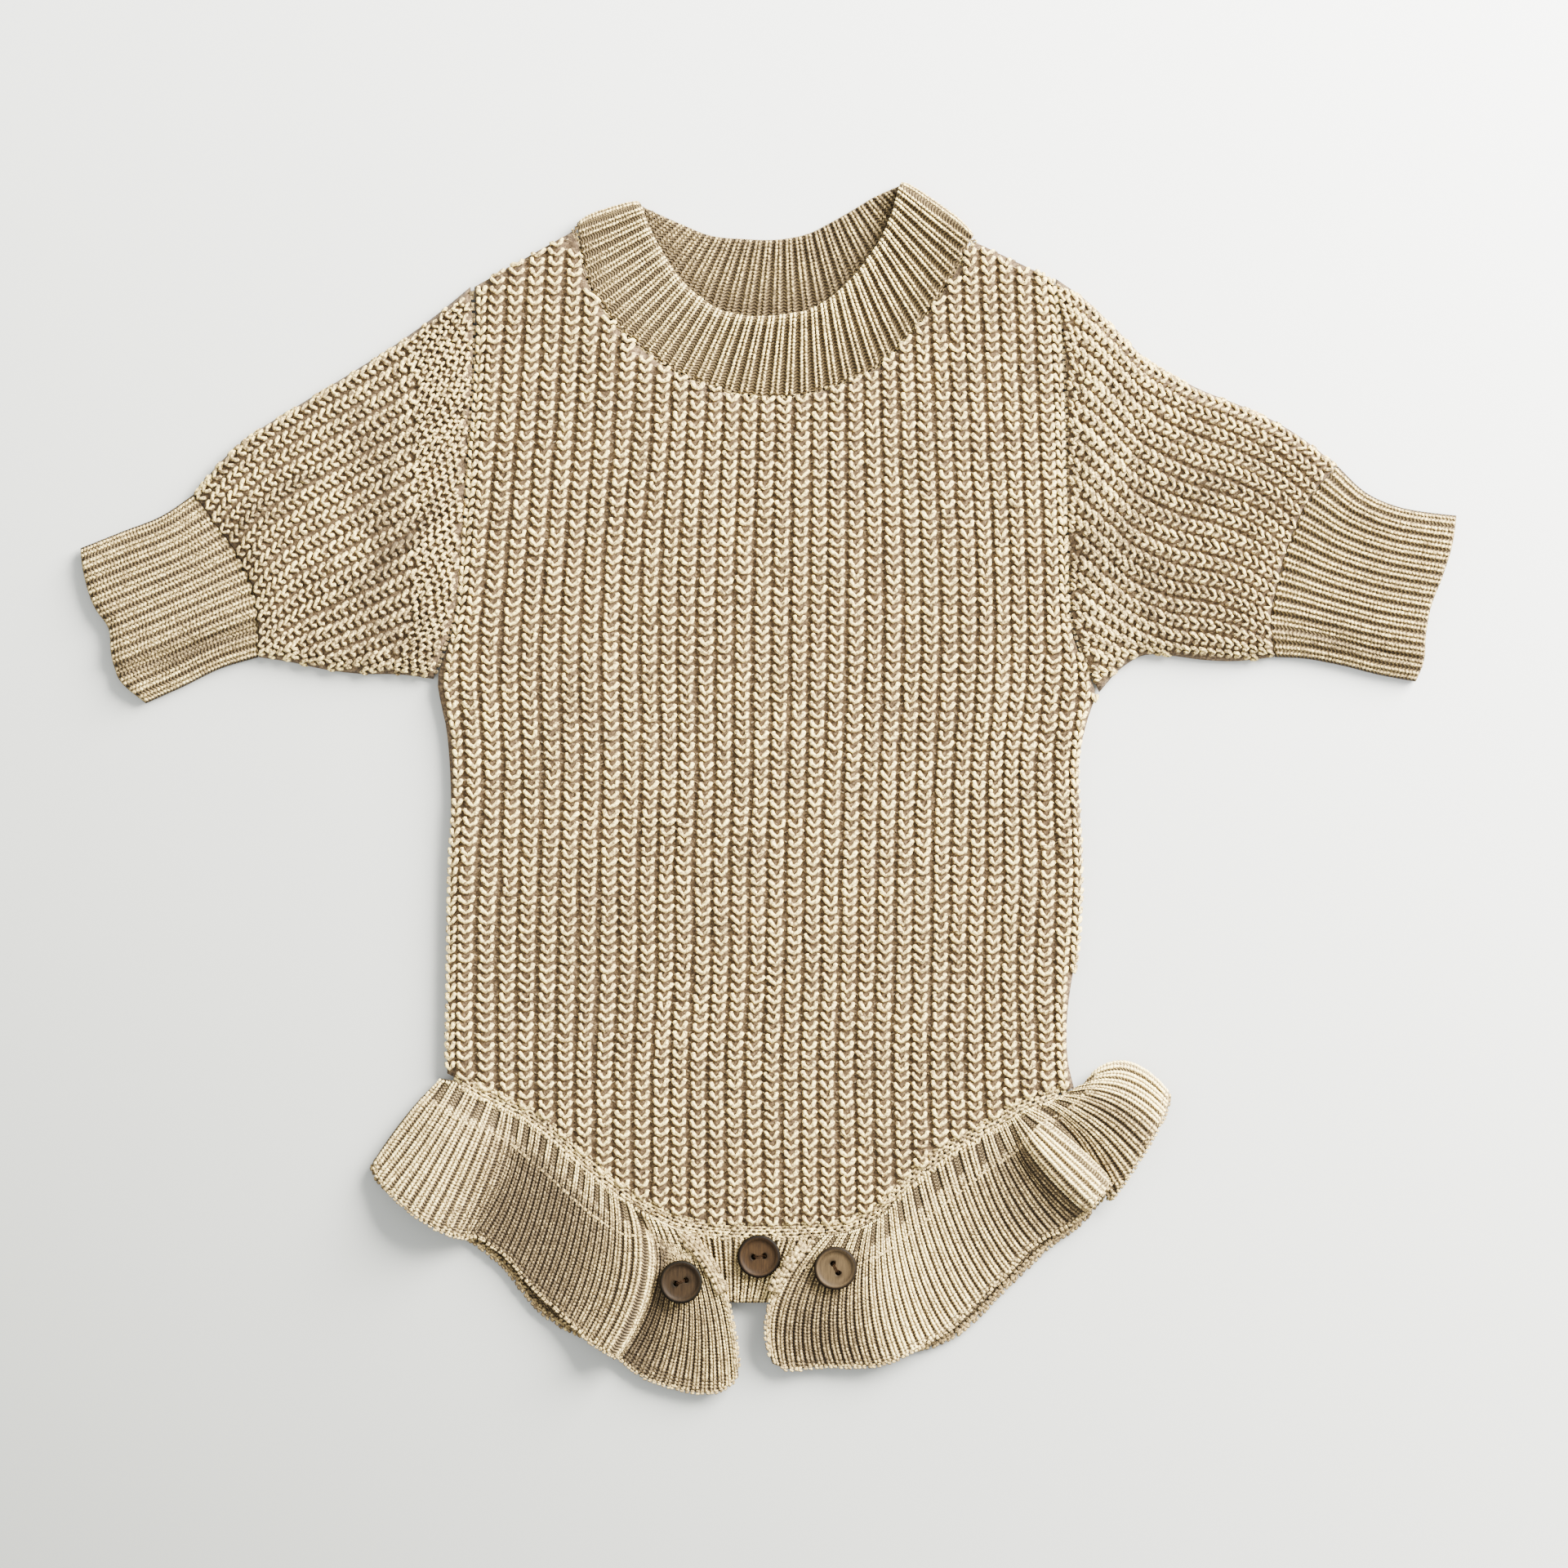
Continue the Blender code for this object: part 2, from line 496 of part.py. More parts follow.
def ribbed(lines, width, rib, thickness, rise, fade):
    """Thickness of a flat tube's upper cloth: its ribs fade out towards both folds."""
    from_edge = np.minimum(lines, 1 - lines) * width
    return thickness + rise * rib[:, None] * ease(from_edge / fade)


def flat_tube(name, edges, stations, lines, cloth, starts, puff, crease):
    """A sleeve or cuff pressed flat: ribbed above, plain and flat below, hollow between.

    `lines` holds each rib line's share across the tube at each station, `cloth` its thickness there
    and `starts` the index of each rib's start.
    """
    u = np.broadcast_to(stations, lines.shape)
    width = tube_width(edges, stations)
    trough_start, trough_end, depth, trough_width = crease

    def height(p, walls):
        """Top of the hollow plus the cloth over it."""
        swell = puff * np.sin(np.pi * p) * ease(u[: len(p)] / 0.15) * ease((1 - u[: len(p)]) / 0.1)
        middle = trough_start + (trough_end - trough_start) * u[: len(p)]
        trough = depth * np.exp(-(((p - middle) * width / trough_width) ** 2))
        return FRONT_FLOOR + swell + walls - trough

    from_edge = np.minimum(lines, 1 - lines) * width
    top = FOLD_HEIGHT + (height(lines, cloth) - FOLD_HEIGHT) * rounded(from_edge, SIDE_ROUND)
    upper = np.dstack([patch(*edges, u, lines), top])
    foot = FOLD_FOOT / width
    quarters = np.repeat([[0.75], [0.5], [0.25]], len(width), axis=1)
    below = np.vstack([1 - foot, quarters, foot])
    under = np.dstack([patch(*edges, u[: len(below)], below), np.zeros_like(below)])
    outer = np.concatenate([upper, under])

    margin = FOLD_MARGIN / width
    inside = margin + lines[starts] * (1 - 2 * margin)
    ceiling = height(inside, 0.0)
    ceiling[[0, -1]] = (BACK_WALL + FRONT_FLOOR) / 2
    ceiling = np.maximum(ceiling, BACK_WALL + HOLLOW_GAP)
    lined = np.dstack([patch(*edges, u[: len(inside)], inside), ceiling])
    fifths = np.repeat([[0.8], [0.6], [0.4], [0.2]], len(width), axis=1)
    floor = np.dstack([patch(*edges, u[: len(fifths)], fifths), np.full_like(fifths, BACK_WALL)])
    inner = np.concatenate([lined, floor])
    links = [(int(start), k) for k, start in enumerate(starts)]
    links += [(len(upper) + 1 + k, len(inside) + k) for k in range(len(fifths))]
    return wall(name, outer, inner, links, True, KNIT_COLOUR)


def armhole(side, gap, top_y, underarm_y):
    """The sleeve's end: the body's edge from shoulder to underarm, moved clear of it."""
    y = np.linspace(top_y, underarm_y, 24)
    return np.stack([side_x(side, y) + gap, y], axis=1)


def sleeve(name, start, finish, upper, lower, crease):
    """Sleeve whose ribs keep their own pitch, so that the lowest run out at the underarm fold."""
    shares, rib, starts = rib_columns(SLEEVE_RIBS, WIDE_RIB)
    stations = np.array(SLEEVE_STATIONS)
    upper = np.concatenate([start[:1], upper[1:]])
    lower = np.concatenate([start[-1:], lower[1:]])
    edges = (start, finish, upper, lower)
    width = tube_width(edges, stations)
    pitch = SHOULDER_PITCH + (WRIST_PITCH - SHOULDER_PITCH) * stations
    full = shares[:, None] * SLEEVE_RIBS * pitch
    knee = width - RUNOUT_WIDTH
    squeeze = RUNOUT_WIDTH / (SLEEVE_RIBS * pitch - knee)
    lines = np.where(full < knee, full, knee + (full - knee) * squeeze) / width
    cloth = ribbed(lines, width, rib, WIDE_WALL, WIDE_RISE, SLEEVE_FADE)
    return flat_tube(name, edges, stations, lines, cloth, starts, SLEEVE_PUFF, crease)


def cuff(name, start, finish, upper, lower, crease):
    """Ribbed cuff, a little thinner than the sleeve that it gathers."""
    shares, rib, starts = rib_columns(CUFF_RIBS, FINE_RIB)
    stations = np.array(CUFF_STATIONS)
    lines = np.repeat(shares[:, None], len(stations), axis=1)
    edges = (np.array(start), np.array(finish), np.array(upper), np.array(lower))
    cloth = ribbed(lines, tube_width(edges, stations), rib, FINE_WALL, CUFF_RISE, CUFF_FADE)
    return flat_tube(name, edges, stations, lines, cloth, starts, CUFF_PUFF, crease)


def neckband():
    """One ribbed ring, turned over at both shoulders: its front lies on its back."""
    across = np.array(COLLAR_ACROSS)
    edge = np.array(COLLAR_EDGE_SHARES)
    turn = np.radians(COLLAR_CORNER_TURN)
    front, front_rib, front_starts = rib_columns(NECK_FRONT_RIBS, FINE_RIB)
    back, back_rib, back_starts = rib_columns(NECK_BACK_RIBS, FINE_RIB)

    def between(seam, free, share):
        seam, free = along(seam, share)[:, None], along(free, share)[:, None]
        return seam + (free - seam) * across[None, :, None]

    def stack(plan, z):
        return np.dstack([plan, np.broadcast_to(z, plan.shape[:2])])

    def lift(share):
        from_corner = np.minimum(share, 1 - share) / COLLAR_CORNER_SHARE
        return COLLAR_CORNER_LIFT * (1 - ease(from_corner))[:, None]

    front_plan = between(NECK_FRONT, COLLAR_FRONT, front)
    front_top = FRONT_FLOOR + lift(front) + (FINE_WALL + COLLAR_RISE * front_rib[:, None]) * edge
    front_under = FRONT_FLOOR + lift(front[front_starts])
    back_plan = between(NECK_BACK, COLLAR_BACK, back)
    back_top = (BACK_GROOVE + (BACK_WALL - BACK_GROOVE) * back_rib[:, None]) * edge

    def corner(plan, outwards):
        """The turn over one shoulder, outer and inner skin, from the front down to the back."""
        roof = FRONT_FLOOR + COLLAR_CORNER_LIFT
        outer_skin = (roof + FINE_WALL * edge, 0.0, COLLAR_CORNER_ROUND)
        inner_skin = (roof, BACK_GROOVE * edge, COLLAR_CORNER_REACH)
        skins = []
        for upper, lower, reach in (outer_skin, inner_skin):
            z = (upper + lower) / 2 + (upper - lower) / 2 * np.sin(turn)[:, None]
            moved = plan[None] + outwards * reach * np.cos(turn)[:, None, None]
            skins.append(stack(moved, z))
        return skins

    def outwards(plan, sign):
        """Unit direction square to the fold line, away from the band."""
        line = plan[-1] - plan[0]
        return sign * np.array([-line[1], line[0]]) / np.linalg.norm(line)

    right = corner(front_plan[-1], outwards(front_plan[-1], -1))
    left = corner(front_plan[0], outwards(front_plan[0], 1))
    coarse = back_plan[back_starts][::-1]
    outer = [stack(front_plan, front_top), right[0], stack(coarse, 0.0), left[0][::-1]]
    inner = [
        stack(front_plan[front_starts], front_under), right[1],
        stack(back_plan, back_top)[::-1], left[1][::-1],
    ]
    links = [(int(start), k) for k, start in enumerate(front_starts)]
    o, i = len(front), len(front_starts)
    links += [(o + k, i + k) for k in range(len(turn))]
    o, i = o + len(turn), i + len(turn)
    links += [(o + k, i + k * len(FINE_RIB)) for k in range(len(coarse))]
    o, i = o + len(coarse), i + len(back)
    links += [(o + k, i + k) for k in range(len(turn))]
    outer, inner = np.concatenate(outer), np.concatenate(inner)
    return wall("neckband", outer, inner, links, True, KNIT_COLOUR)


def ruffle_surface(rows, at, across):
    """The middle of a ruffle's cloth at fractional table rows `at` and shares `across`."""
    value = smooth(np.arange(len(rows)), rows, at)
    seam, middle, edge = value[:, 0:3], value[:, 3:6], value[:, 6:9]
    w, m = across[None, :, None], RUFFLE_MIDDLE
    plan = (
        seam[:, None, :2] * (w - m) * (w - 1) / m
        + middle[:, None, :2] * w * (w - 1) / (m * (m - 1))
        + edge[:, None, :2] * w * (w - m) / (1 - m)
    )
    first, second = ease(across / m)[None], ease((across - m) / (1 - m))[None]
    z = seam[:, 2:] + (middle[:, 2:] - seam[:, 2:]) * first + (edge[:, 2:] - middle[:, 2:]) * second
    return np.dstack([plan, z])


def ruffle_normals(rows, at, across):
    """Unit normals of that surface, from small steps both ways; upright along the seam."""
    step = 0.02
    along_it = ruffle_surface(rows, at + step, across) - ruffle_surface(rows, at - step, across)
    beyond = ruffle_surface(rows, at, across + step) - ruffle_surface(rows, at, across - step)
    normal = np.cross(along_it, beyond)
    return normal / np.linalg.norm(normal, axis=-1, keepdims=True)


def ruffle(name, back_rows, front_rows):
    """A gathered strip round one leg: its back half lies flat, its front half waves on top."""
    table = np.array(back_rows + front_rows)
    column = {title: table[:, k] for k, title in enumerate(RUFFLE_COLUMNS)}
    seam = hem_point(column["seam_x"], column["seam_out"])
    rows = np.column_stack([seam] + [column[title] for title in RUFFLE_COLUMNS[2:]])
    fold = len(back_rows)
    dense = np.linspace(0, len(rows) - 1, 1200)
    edge = ruffle_surface(rows, dense, np.array([0.75]))[:, 0]
    run = np.concatenate([[0], np.cumsum(np.linalg.norm(np.diff(edge, axis=0), axis=1))])
    fold_run = np.interp(fold, dense, run)
    shares, rib, starts = rib_columns(RUFFLE_RIBS, FINE_RIB)
    front_run = fold_run + shares * (run[-1] - fold_run)
    back_run = np.concatenate([np.linspace(0, fold_run - 8, 13), fold_run - np.array([5, 3, 1.4])])
    fine = np.interp(np.concatenate([back_run, front_run]), run, dense)
    across = np.array(STRIP_ACROSS)
    points = ruffle_surface(rows, fine, across)
    normals = ruffle_normals(rows, fine, across)
    upside = np.sign(normals[-1, 2, 2])
    normals *= upside
    sign = np.where(normals[:, :1, 2:] < 0, -1.0, 1.0)
    normals[:, :1] = np.array([0, 0, 1.0]) * sign
    turning = (np.abs(fine - fold) < 0.45)[:, None]
    true_normals = ruffle_normals(rows, fine, across[:1] + 0.02)[:, 0] * upside
    normals[:, 0] = np.where(turning, true_normals, normals[:, 0])
    height = np.concatenate([np.zeros(len(back_run)), rib])[:, None, None]
    rise = FINE_RISE * height * np.array(STRIP_RIB_SHARES)[:, None]
    outer = points + normals * (FINE_WALL / 2 + rise)
    marks = np.concatenate([np.arange(len(back_run)), len(back_run) + starts])
    inner = (points - normals * FINE_WALL / 2)[marks]
    outer[..., 2] = np.maximum(outer[..., 2], 0.0)
    inner[..., 2] = np.maximum(inner[..., 2], 0.0)
    links = [(int(mark), k) for k, mark in enumerate(marks)]
    wall(name, outer, inner, links, False, RUFFLE_COLOUR)
    return outer


def crotch_band(name, ribs, floor, thickness, rise, inset):
    """One half of the button placket, from the hem down, between the leg openings."""
    shares, rib, starts = rib_columns(ribs, FINE_RIB)
    top_x = BAND_TOP_X[0] + inset + (BAND_TOP_X[1] - BAND_TOP_X[0] - 2 * inset) * shares
    low_x = BAND_BOTTOM_X[0] + inset + (BAND_BOTTOM_X[1] - BAND_BOTTOM_X[0] - 2 * inset) * shares
    top = hem_point(top_x, np.full(len(shares), SEAM_GAP))
    low = np.stack([low_x, BAND_BOTTOM_Y + inset - 1.2 * np.sin(np.pi * shares)], axis=1)
    levels = np.array([0, 0.05, 0.95, 1.0])[None, :, None]
    plan = top[:, None] + (low - top)[:, None] * levels
    edge = np.array([0.8, 1, 1, 0.7])
    upper = np.dstack([plan, floor + (thickness + rise * rib[:, None]) * edge])
    under = np.dstack([plan, np.full(plan.shape[:2], floor)])[starts]
    links = [(int(start), k) for k, start in enumerate(starts)]
    wall(name, upper, under, links, False, KNIT_COLOUR)
    return upper


def seat_height(cloth, x, y):
    """The highest cloth under a button."""
    near = np.hypot(cloth[..., 0] - x, cloth[..., 1] - y) < BUTTON_RADIUS + 1.5
    return cloth[near][:, 2].max() + BUTTON_GAP


def button(name, x, y, z, turn):
    """Turned wooden button with a raised rim, a dished face and two holes."""
    profile = (
        (0.0, 0.0), (BUTTON_RADIUS - 0.7, 0.0), (BUTTON_RADIUS, 0.9),
        (BUTTON_RADIUS, BUTTON_THICK - 0.6), (BUTTON_RADIUS - 0.5, BUTTON_THICK),
        (BUTTON_RADIUS - BUTTON_RIM, BUTTON_THICK),
        (BUTTON_RADIUS - BUTTON_RIM - 0.9, BUTTON_THICK - BUTTON_DISH),
        (0.0, BUTTON_THICK - BUTTON_DISH),
    )
    sides = 28
    angles = np.arange(sides) * 2 * np.pi / sides
    ring = np.array(profile[1:-1])
    points = [
        (x + radius * math.cos(angle), y + radius * math.sin(angle), z + height)
        for radius, height in ring
        for angle in angles
    ]
    faces = [
        [k * sides + i, k * sides + (i + 1) % sides,
         (k + 1) * sides + (i + 1) % sides, (k + 1) * sides + i]
        for k in range(len(ring) - 1)
        for i in range(sides)
    ]
    faces.append(list(range(sides))[::-1])
    faces.append([(len(ring) - 1) * sides + i for i in range(sides)])
    disc = add_mesh(name, points, faces, WOOD_COLOUR, 0.45)
    for side in (-1, 1):
        reach = side * BUTTON_HOLE_APART / 2
        at_x = x + reach * math.cos(math.radians(turn))
        at_y = y + reach * math.sin(math.radians(turn))
        bpy.ops.mesh.primitive_cylinder_add(
            vertices=10, radius=BUTTON_HOLE_RADIUS * 0.001, depth=0.012,
            location=(at_x * 0.001, at_y * 0.001, (z + BUTTON_THICK / 2) * 0.001),
        )
        drill = bpy.context.object
        drill.name = f"{name}_drill_{side}"
        drill.hide_render = True
        drill.display_type = "WIRE"
        cut = disc.modifiers.new("hole", "BOOLEAN")
        cut.object = drill
        cut.solver = "EXACT"
    return disc


def main():
    """Builds the romper from an empty scene."""
    for old in list(bpy.data.objects):
        bpy.data.objects.remove(old, do_unlink=True)
    front_body()
    back_body()
    left_end = armhole(LEFT_SIDE, -ARMHOLE_GAP, SLEEVE_LEFT_TOP[0][1], UNDERARM_LEFT_Y)
    right_end = armhole(RIGHT_SIDE, ARMHOLE_GAP, SLEEVE_RIGHT_TOP[0][1], UNDERARM_RIGHT_Y)
    sleeve("sleeve_left", left_end, WRIST_LEFT, SLEEVE_LEFT_TOP, SLEEVE_LEFT_BOTTOM, NO_CREASE)
    sleeve("sleeve_right", right_end, WRIST_RIGHT, SLEEVE_RIGHT_TOP, SLEEVE_RIGHT_BOTTOM, NO_CREASE)
    left_edges = (WRIST_LEFT, CUFF_LEFT_END, CUFF_LEFT_TOP, CUFF_LEFT_BOTTOM)
    right_edges = (WRIST_RIGHT, CUFF_RIGHT_END, CUFF_RIGHT_TOP, CUFF_RIGHT_BOTTOM)
    cuff("cuff_left", *left_edges, CUFF_LEFT_CREASE)
    cuff("cuff_right", *right_edges, CUFF_RIGHT_CREASE)
    neckband()
    ruffles = {
        "button_left": ruffle("ruffle_left", RUFFLE_LEFT_BACK, RUFFLE_LEFT_FRONT),
        "button_right": ruffle("ruffle_right", RUFFLE_RIGHT_BACK, RUFFLE_RIGHT_FRONT),
    }
    band = crotch_band("crotch_band_front", CROTCH_RIBS, FRONT_FLOOR, FINE_WALL, FINE_RISE, 0.0)
    crotch_band("crotch_band_back", CROTCH_RIBS, 0.0, BACK_WALL, 0.0, BAND_INSET)
    for name, (x, y, turn) in BUTTONS.items():
        cloth = ruffles.get(name, band)
        button(name, x, y, seat_height(cloth, x, y), turn)


main()
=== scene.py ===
"""Finish of the knitted baby romper, laid flat on its back: cloth, stitches, seams and buttons.

Lengths are millimetres until `add_piece` turns them into metres. +X is the wearer's left, +Y runs
from the crotch to the neck and +Z points up off the surface. "left" in a name is the side at -X.
Every piece is one mesh worked out on a grid, or many short strands of yarn along worked-out lines.
"""

import bmesh
import bpy
import numpy as np
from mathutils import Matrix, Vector


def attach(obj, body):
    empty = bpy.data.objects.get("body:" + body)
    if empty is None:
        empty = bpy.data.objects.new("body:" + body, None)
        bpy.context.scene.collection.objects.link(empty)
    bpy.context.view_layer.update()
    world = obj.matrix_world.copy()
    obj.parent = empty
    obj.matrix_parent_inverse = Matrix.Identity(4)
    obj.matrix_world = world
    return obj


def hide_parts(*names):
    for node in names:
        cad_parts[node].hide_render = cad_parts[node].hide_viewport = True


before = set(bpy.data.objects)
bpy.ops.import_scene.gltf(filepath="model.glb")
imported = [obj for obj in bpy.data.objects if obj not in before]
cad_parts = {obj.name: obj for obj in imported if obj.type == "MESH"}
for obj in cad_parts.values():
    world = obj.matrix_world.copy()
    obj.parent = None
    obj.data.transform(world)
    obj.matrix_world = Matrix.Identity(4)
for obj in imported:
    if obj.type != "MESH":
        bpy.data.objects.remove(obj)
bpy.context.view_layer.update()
rng = np.random.default_rng(7)
ROOT = "root"
UP = np.array([0.0, 0.0, 1.0])

# Layers of cloth, counted up from the surface the romper lies on.
BACK_WALL = 2.6
FRONT_FLOOR = 2.9
SEAM_GAP = 0.6
ARMHOLE_GAP = 0.85
NECK_CORNER_GAPS = (0.7, 0.6)
NECK_CORNER_SHARE = 0.25
CORNER_RISE = 1.2
BUTTON_SEAT = 0.1

# Wide rib: the ground under the stitches, and the stitches on it.
COURSE = 3.55
GROUND_WALL = 1.6
GROUND_RISE = 1.15
SLEEVE_GROUND_RISE = 1.1
SLEEVE_PUFF = 1.6
YARN_LIFT = 3.15
SIDE_ROUND = 8.0
SHOULDER_ROUND = 7.0
UNDERARM_Y = 36.0
SLEEVE_RIBS = 21
SLEEVE_COURSE = 3.15
SHOULDER_PITCH = 7.0
WRIST_PITCH = 4.9

# Fine rib of the cuffs, the neckband, the ruffles and the crotch band.
FINE_WALL = 2.0
FINE_COURSE = 1.15
CUFF_RIBS = 14
CUFF_LENGTH = 42.0
CUFF_PLACES = 100
CUFF_PUFF = 0.8
NECK_RIBS = 36
NAPE_RIBS = 28
NECK_PLACES = 50
CROTCH_RIBS = 18
RIB_COLUMNS = 6
# One fine rib, from groove to groove: two rounded columns of stitches with a shallow line between.
TWIN_RIB = (
    (0, 0), (0.12, 0.5), (0.25, 0.95), (0.38, 0.95), (0.5, 0.72), (0.62, 0.95), (0.75, 0.95),
    (0.88, 0.5), (1, 0),
)
# The same stretched open: the groove is broad and the two columns are narrow.
OPEN_RIB = (
    (0, 0.06), (0.083, 0), (0.167, 0.03), (0.25, 0.5), (0.333, 1), (0.417, 0.9), (0.5, 0.5),
    (0.583, 0.9), (0.667, 1), (0.75, 0.5), (0.833, 0.03), (0.917, 0), (1, 0.06),
)
# Rib heights round the neckband's turns, and shares across the band where its points lie.
CORNER_RIBS = (0.35, 0.9, 0.2, 0.95, 0.15, 0.8, 0.5)
NECK_ACROSS = (
    0, 0.02, 0.05, 0.1, 0.17, 0.25, 0.33, 0.41, 0.49, 0.57, 0.65, 0.72, 0.78, 0.83, 0.875, 0.91, 0.94,
    0.965, 0.985, 1,
)

# Where the grooves between the body's ribs run: height up the body, then the x of these grooves.
GROOVE_NUMBERS = (1, 3, 10, 28, 32, 34)
GROOVE_RUN = (
    (-175, -112.5, -98.5, -50, 73.5, 99.5, 112.5),
    (-137.5, -113.7, -99, -49.8, 73.2, 99.3, 112.5),
    (-101.5, -115.2, -99.6, -49.5, 72.3, 98.7, 112.5),
    (-65.5, -115.2, -99.6, -47.7, 72.9, 97.5, 111.9),
    (-29.5, -114.3, -98.4, -47.7, 73.5, 99, 112.5),
    (6.5, -111.3, -97.5, -46.5, 74.4, 97.8, 111),
    (42.5, -113.4, -98.7, -47.1, 76.5, 101.1, 114.3),
    (78.5, -111, -96.3, -46.5, 76.5, 100.8, 114.3),
    (132.5, -106.2, -92.1, -42.6, 73.8, 99, 112.5),
    (205, -101.5, -87.5, -39, 70, 96, 110),
)
# Side edges of the body from the crotch up: y, x. The armhole starts at the underarm.
LEFT_SIDE = (
    (-200, -118.5), (-106, -118.5), (-71.5, -118), (-41.5, -117.5), (-11.5, -117), (6.5, -117.5),
    (22, -119), (31, -121), (39, -122), (48.5, -119), (60, -115), (88.5, -112), (135, -109),
    (163.5, -107.5), (183, -108.5), (230, -108.5),
)
RIGHT_SIDE = (
    (-200, 113), (-112, 113), (-101.5, 110.5), (-89.5, 110), (-56.5, 114), (-29.5, 115.5), (-11.5, 115),
    (6.5, 114.5), (15.5, 115.5), (25, 118), (34, 120.5), (43.5, 116.5), (54, 112.5), (88.5, 109.5),
    (146, 108.5), (169.5, 107), (186, 104.5), (230, 104.5),
)
# Bottom edge of the body: left leg, crotch, right leg: x, y.
HEM = (
    (-118.5, -106), (-111.5, -109.5), (-102, -115), (-92, -119.5), (-81.5, -126.5), (-71, -136),
    (-61, -144.5), (-50.5, -152.5), (-43, -156.5), (-32, -161.5), (-15, -164), (0, -164.5), (15, -164),
    (26.5, -163), (33, -161), (41.5, -156), (50, -147.5), (64, -136), (72, -131), (84.5, -124),
    (92.5, -119), (113, -112),
)
SHOULDER_LEFT = ((-108.5, 183),)
SHOULDER_RIGHT = ((104.5, 186),)
# Seam between neckband and body, at the front and at the back: x, y.
NECK_FRONT = (
    (-70, 204.5), (-65, 183), (-54.5, 168), (-44, 159), (-33.5, 152), (-15.5, 145), (4, 142.5),
    (27, 148), (39, 153.5), (48.5, 162), (56.5, 171.5), (63.5, 181.5), (69.5, 191.5), (74.5, 200.5),
)
NECK_BACK = (
    (-70, 204.5), (-62, 189.5), (-42, 177), (-18.5, 170.5), (5.5, 169.5), (29.5, 173.5), (50.5, 183),
    (65.5, 192.5), (74.5, 200.5),
)
# Free edge of the neckband, at the front and at the back: x, y.
COLLAR_FRONT = (
    (-46.5, 212.5), (-43.5, 204.5), (-38.5, 195), (-32.5, 186), (-24.5, 178.5), (-17, 174), (-6, 172),
    (5.5, 172.5), (16.5, 175), (26, 181.5), (33.5, 189.5), (40.5, 199.5), (44.5, 208), (48, 220),
)
COLLAR_BACK = (
    (-46.5, 212.5), (-32, 206), (-22, 202), (-8.5, 200.5), (5, 200.5), (14.5, 202.5), (24.5, 207.5),
    (31.5, 211.5), (38, 215.5), (48, 220),
)
# Edges of the sleeves and cuffs, from body to wrist: x, y.
SLEEVE_LEFT_TOP = (
    (-109, 183), (-119.5, 174.5), (-135, 163), (-154.5, 150.5), (-174, 138.5), (-192.5, 126.5),
    (-203.5, 116), (-210.5, 107),
)
SLEEVE_LEFT_BOTTOM = ((-122.5, 39), (-134, 40.5), (-151.5, 41), (-163, 42.5), (-174.5, 45), (-187, 47))
WRIST_LEFT = ((-210.5, 107), (-203.5, 97), (-193, 82), (-188.5, 71), (-187, 62), (-187, 47))
CUFF_LEFT_TOP = ((-210.5, 107), (-222.5, 99), (-237.5, 93), (-252.5, 87))
CUFF_LEFT_BOTTOM = ((-187, 47), (-200.5, 43), (-215, 36), (-228.5, 30))
CUFF_LEFT_END = (
    (-252.5, 87), (-251, 77), (-247, 65), (-242, 57.5), (-241, 48.5), (-238.5, 39.5), (-228.5, 30),
)
SLEEVE_RIGHT_TOP = (
    (105, 186), (116, 178.5), (128, 167), (138, 157), (147.5, 151), (159, 145), (170.5, 140.5),
    (182, 135.5), (193.5, 129), (208.5, 117.5),
)
SLEEVE_RIGHT_BOTTOM = (
    (121, 34), (129, 42.5), (137, 47.5), (147.5, 47.5), (159, 46), (170.5, 45.5), (185.5, 47),
)
WRIST_RIGHT = ((208.5, 117.5), (198, 105), (191.5, 91), (186, 72), (184, 62), (185.5, 47))
CUFF_RIGHT_TOP = ((208.5, 117.5), (220, 107), (232, 102), (243.5, 100), (252.5, 99))
CUFF_RIGHT_BOTTOM = ((185.5, 47), (196, 46.5), (210, 44), (224, 40.5), (237.5, 38))
CUFF_RIGHT_END = ((252.5, 99), (250.5, 87), (247, 76), (243, 65.5), (241, 54), (240.5, 46), (237.5, 38))

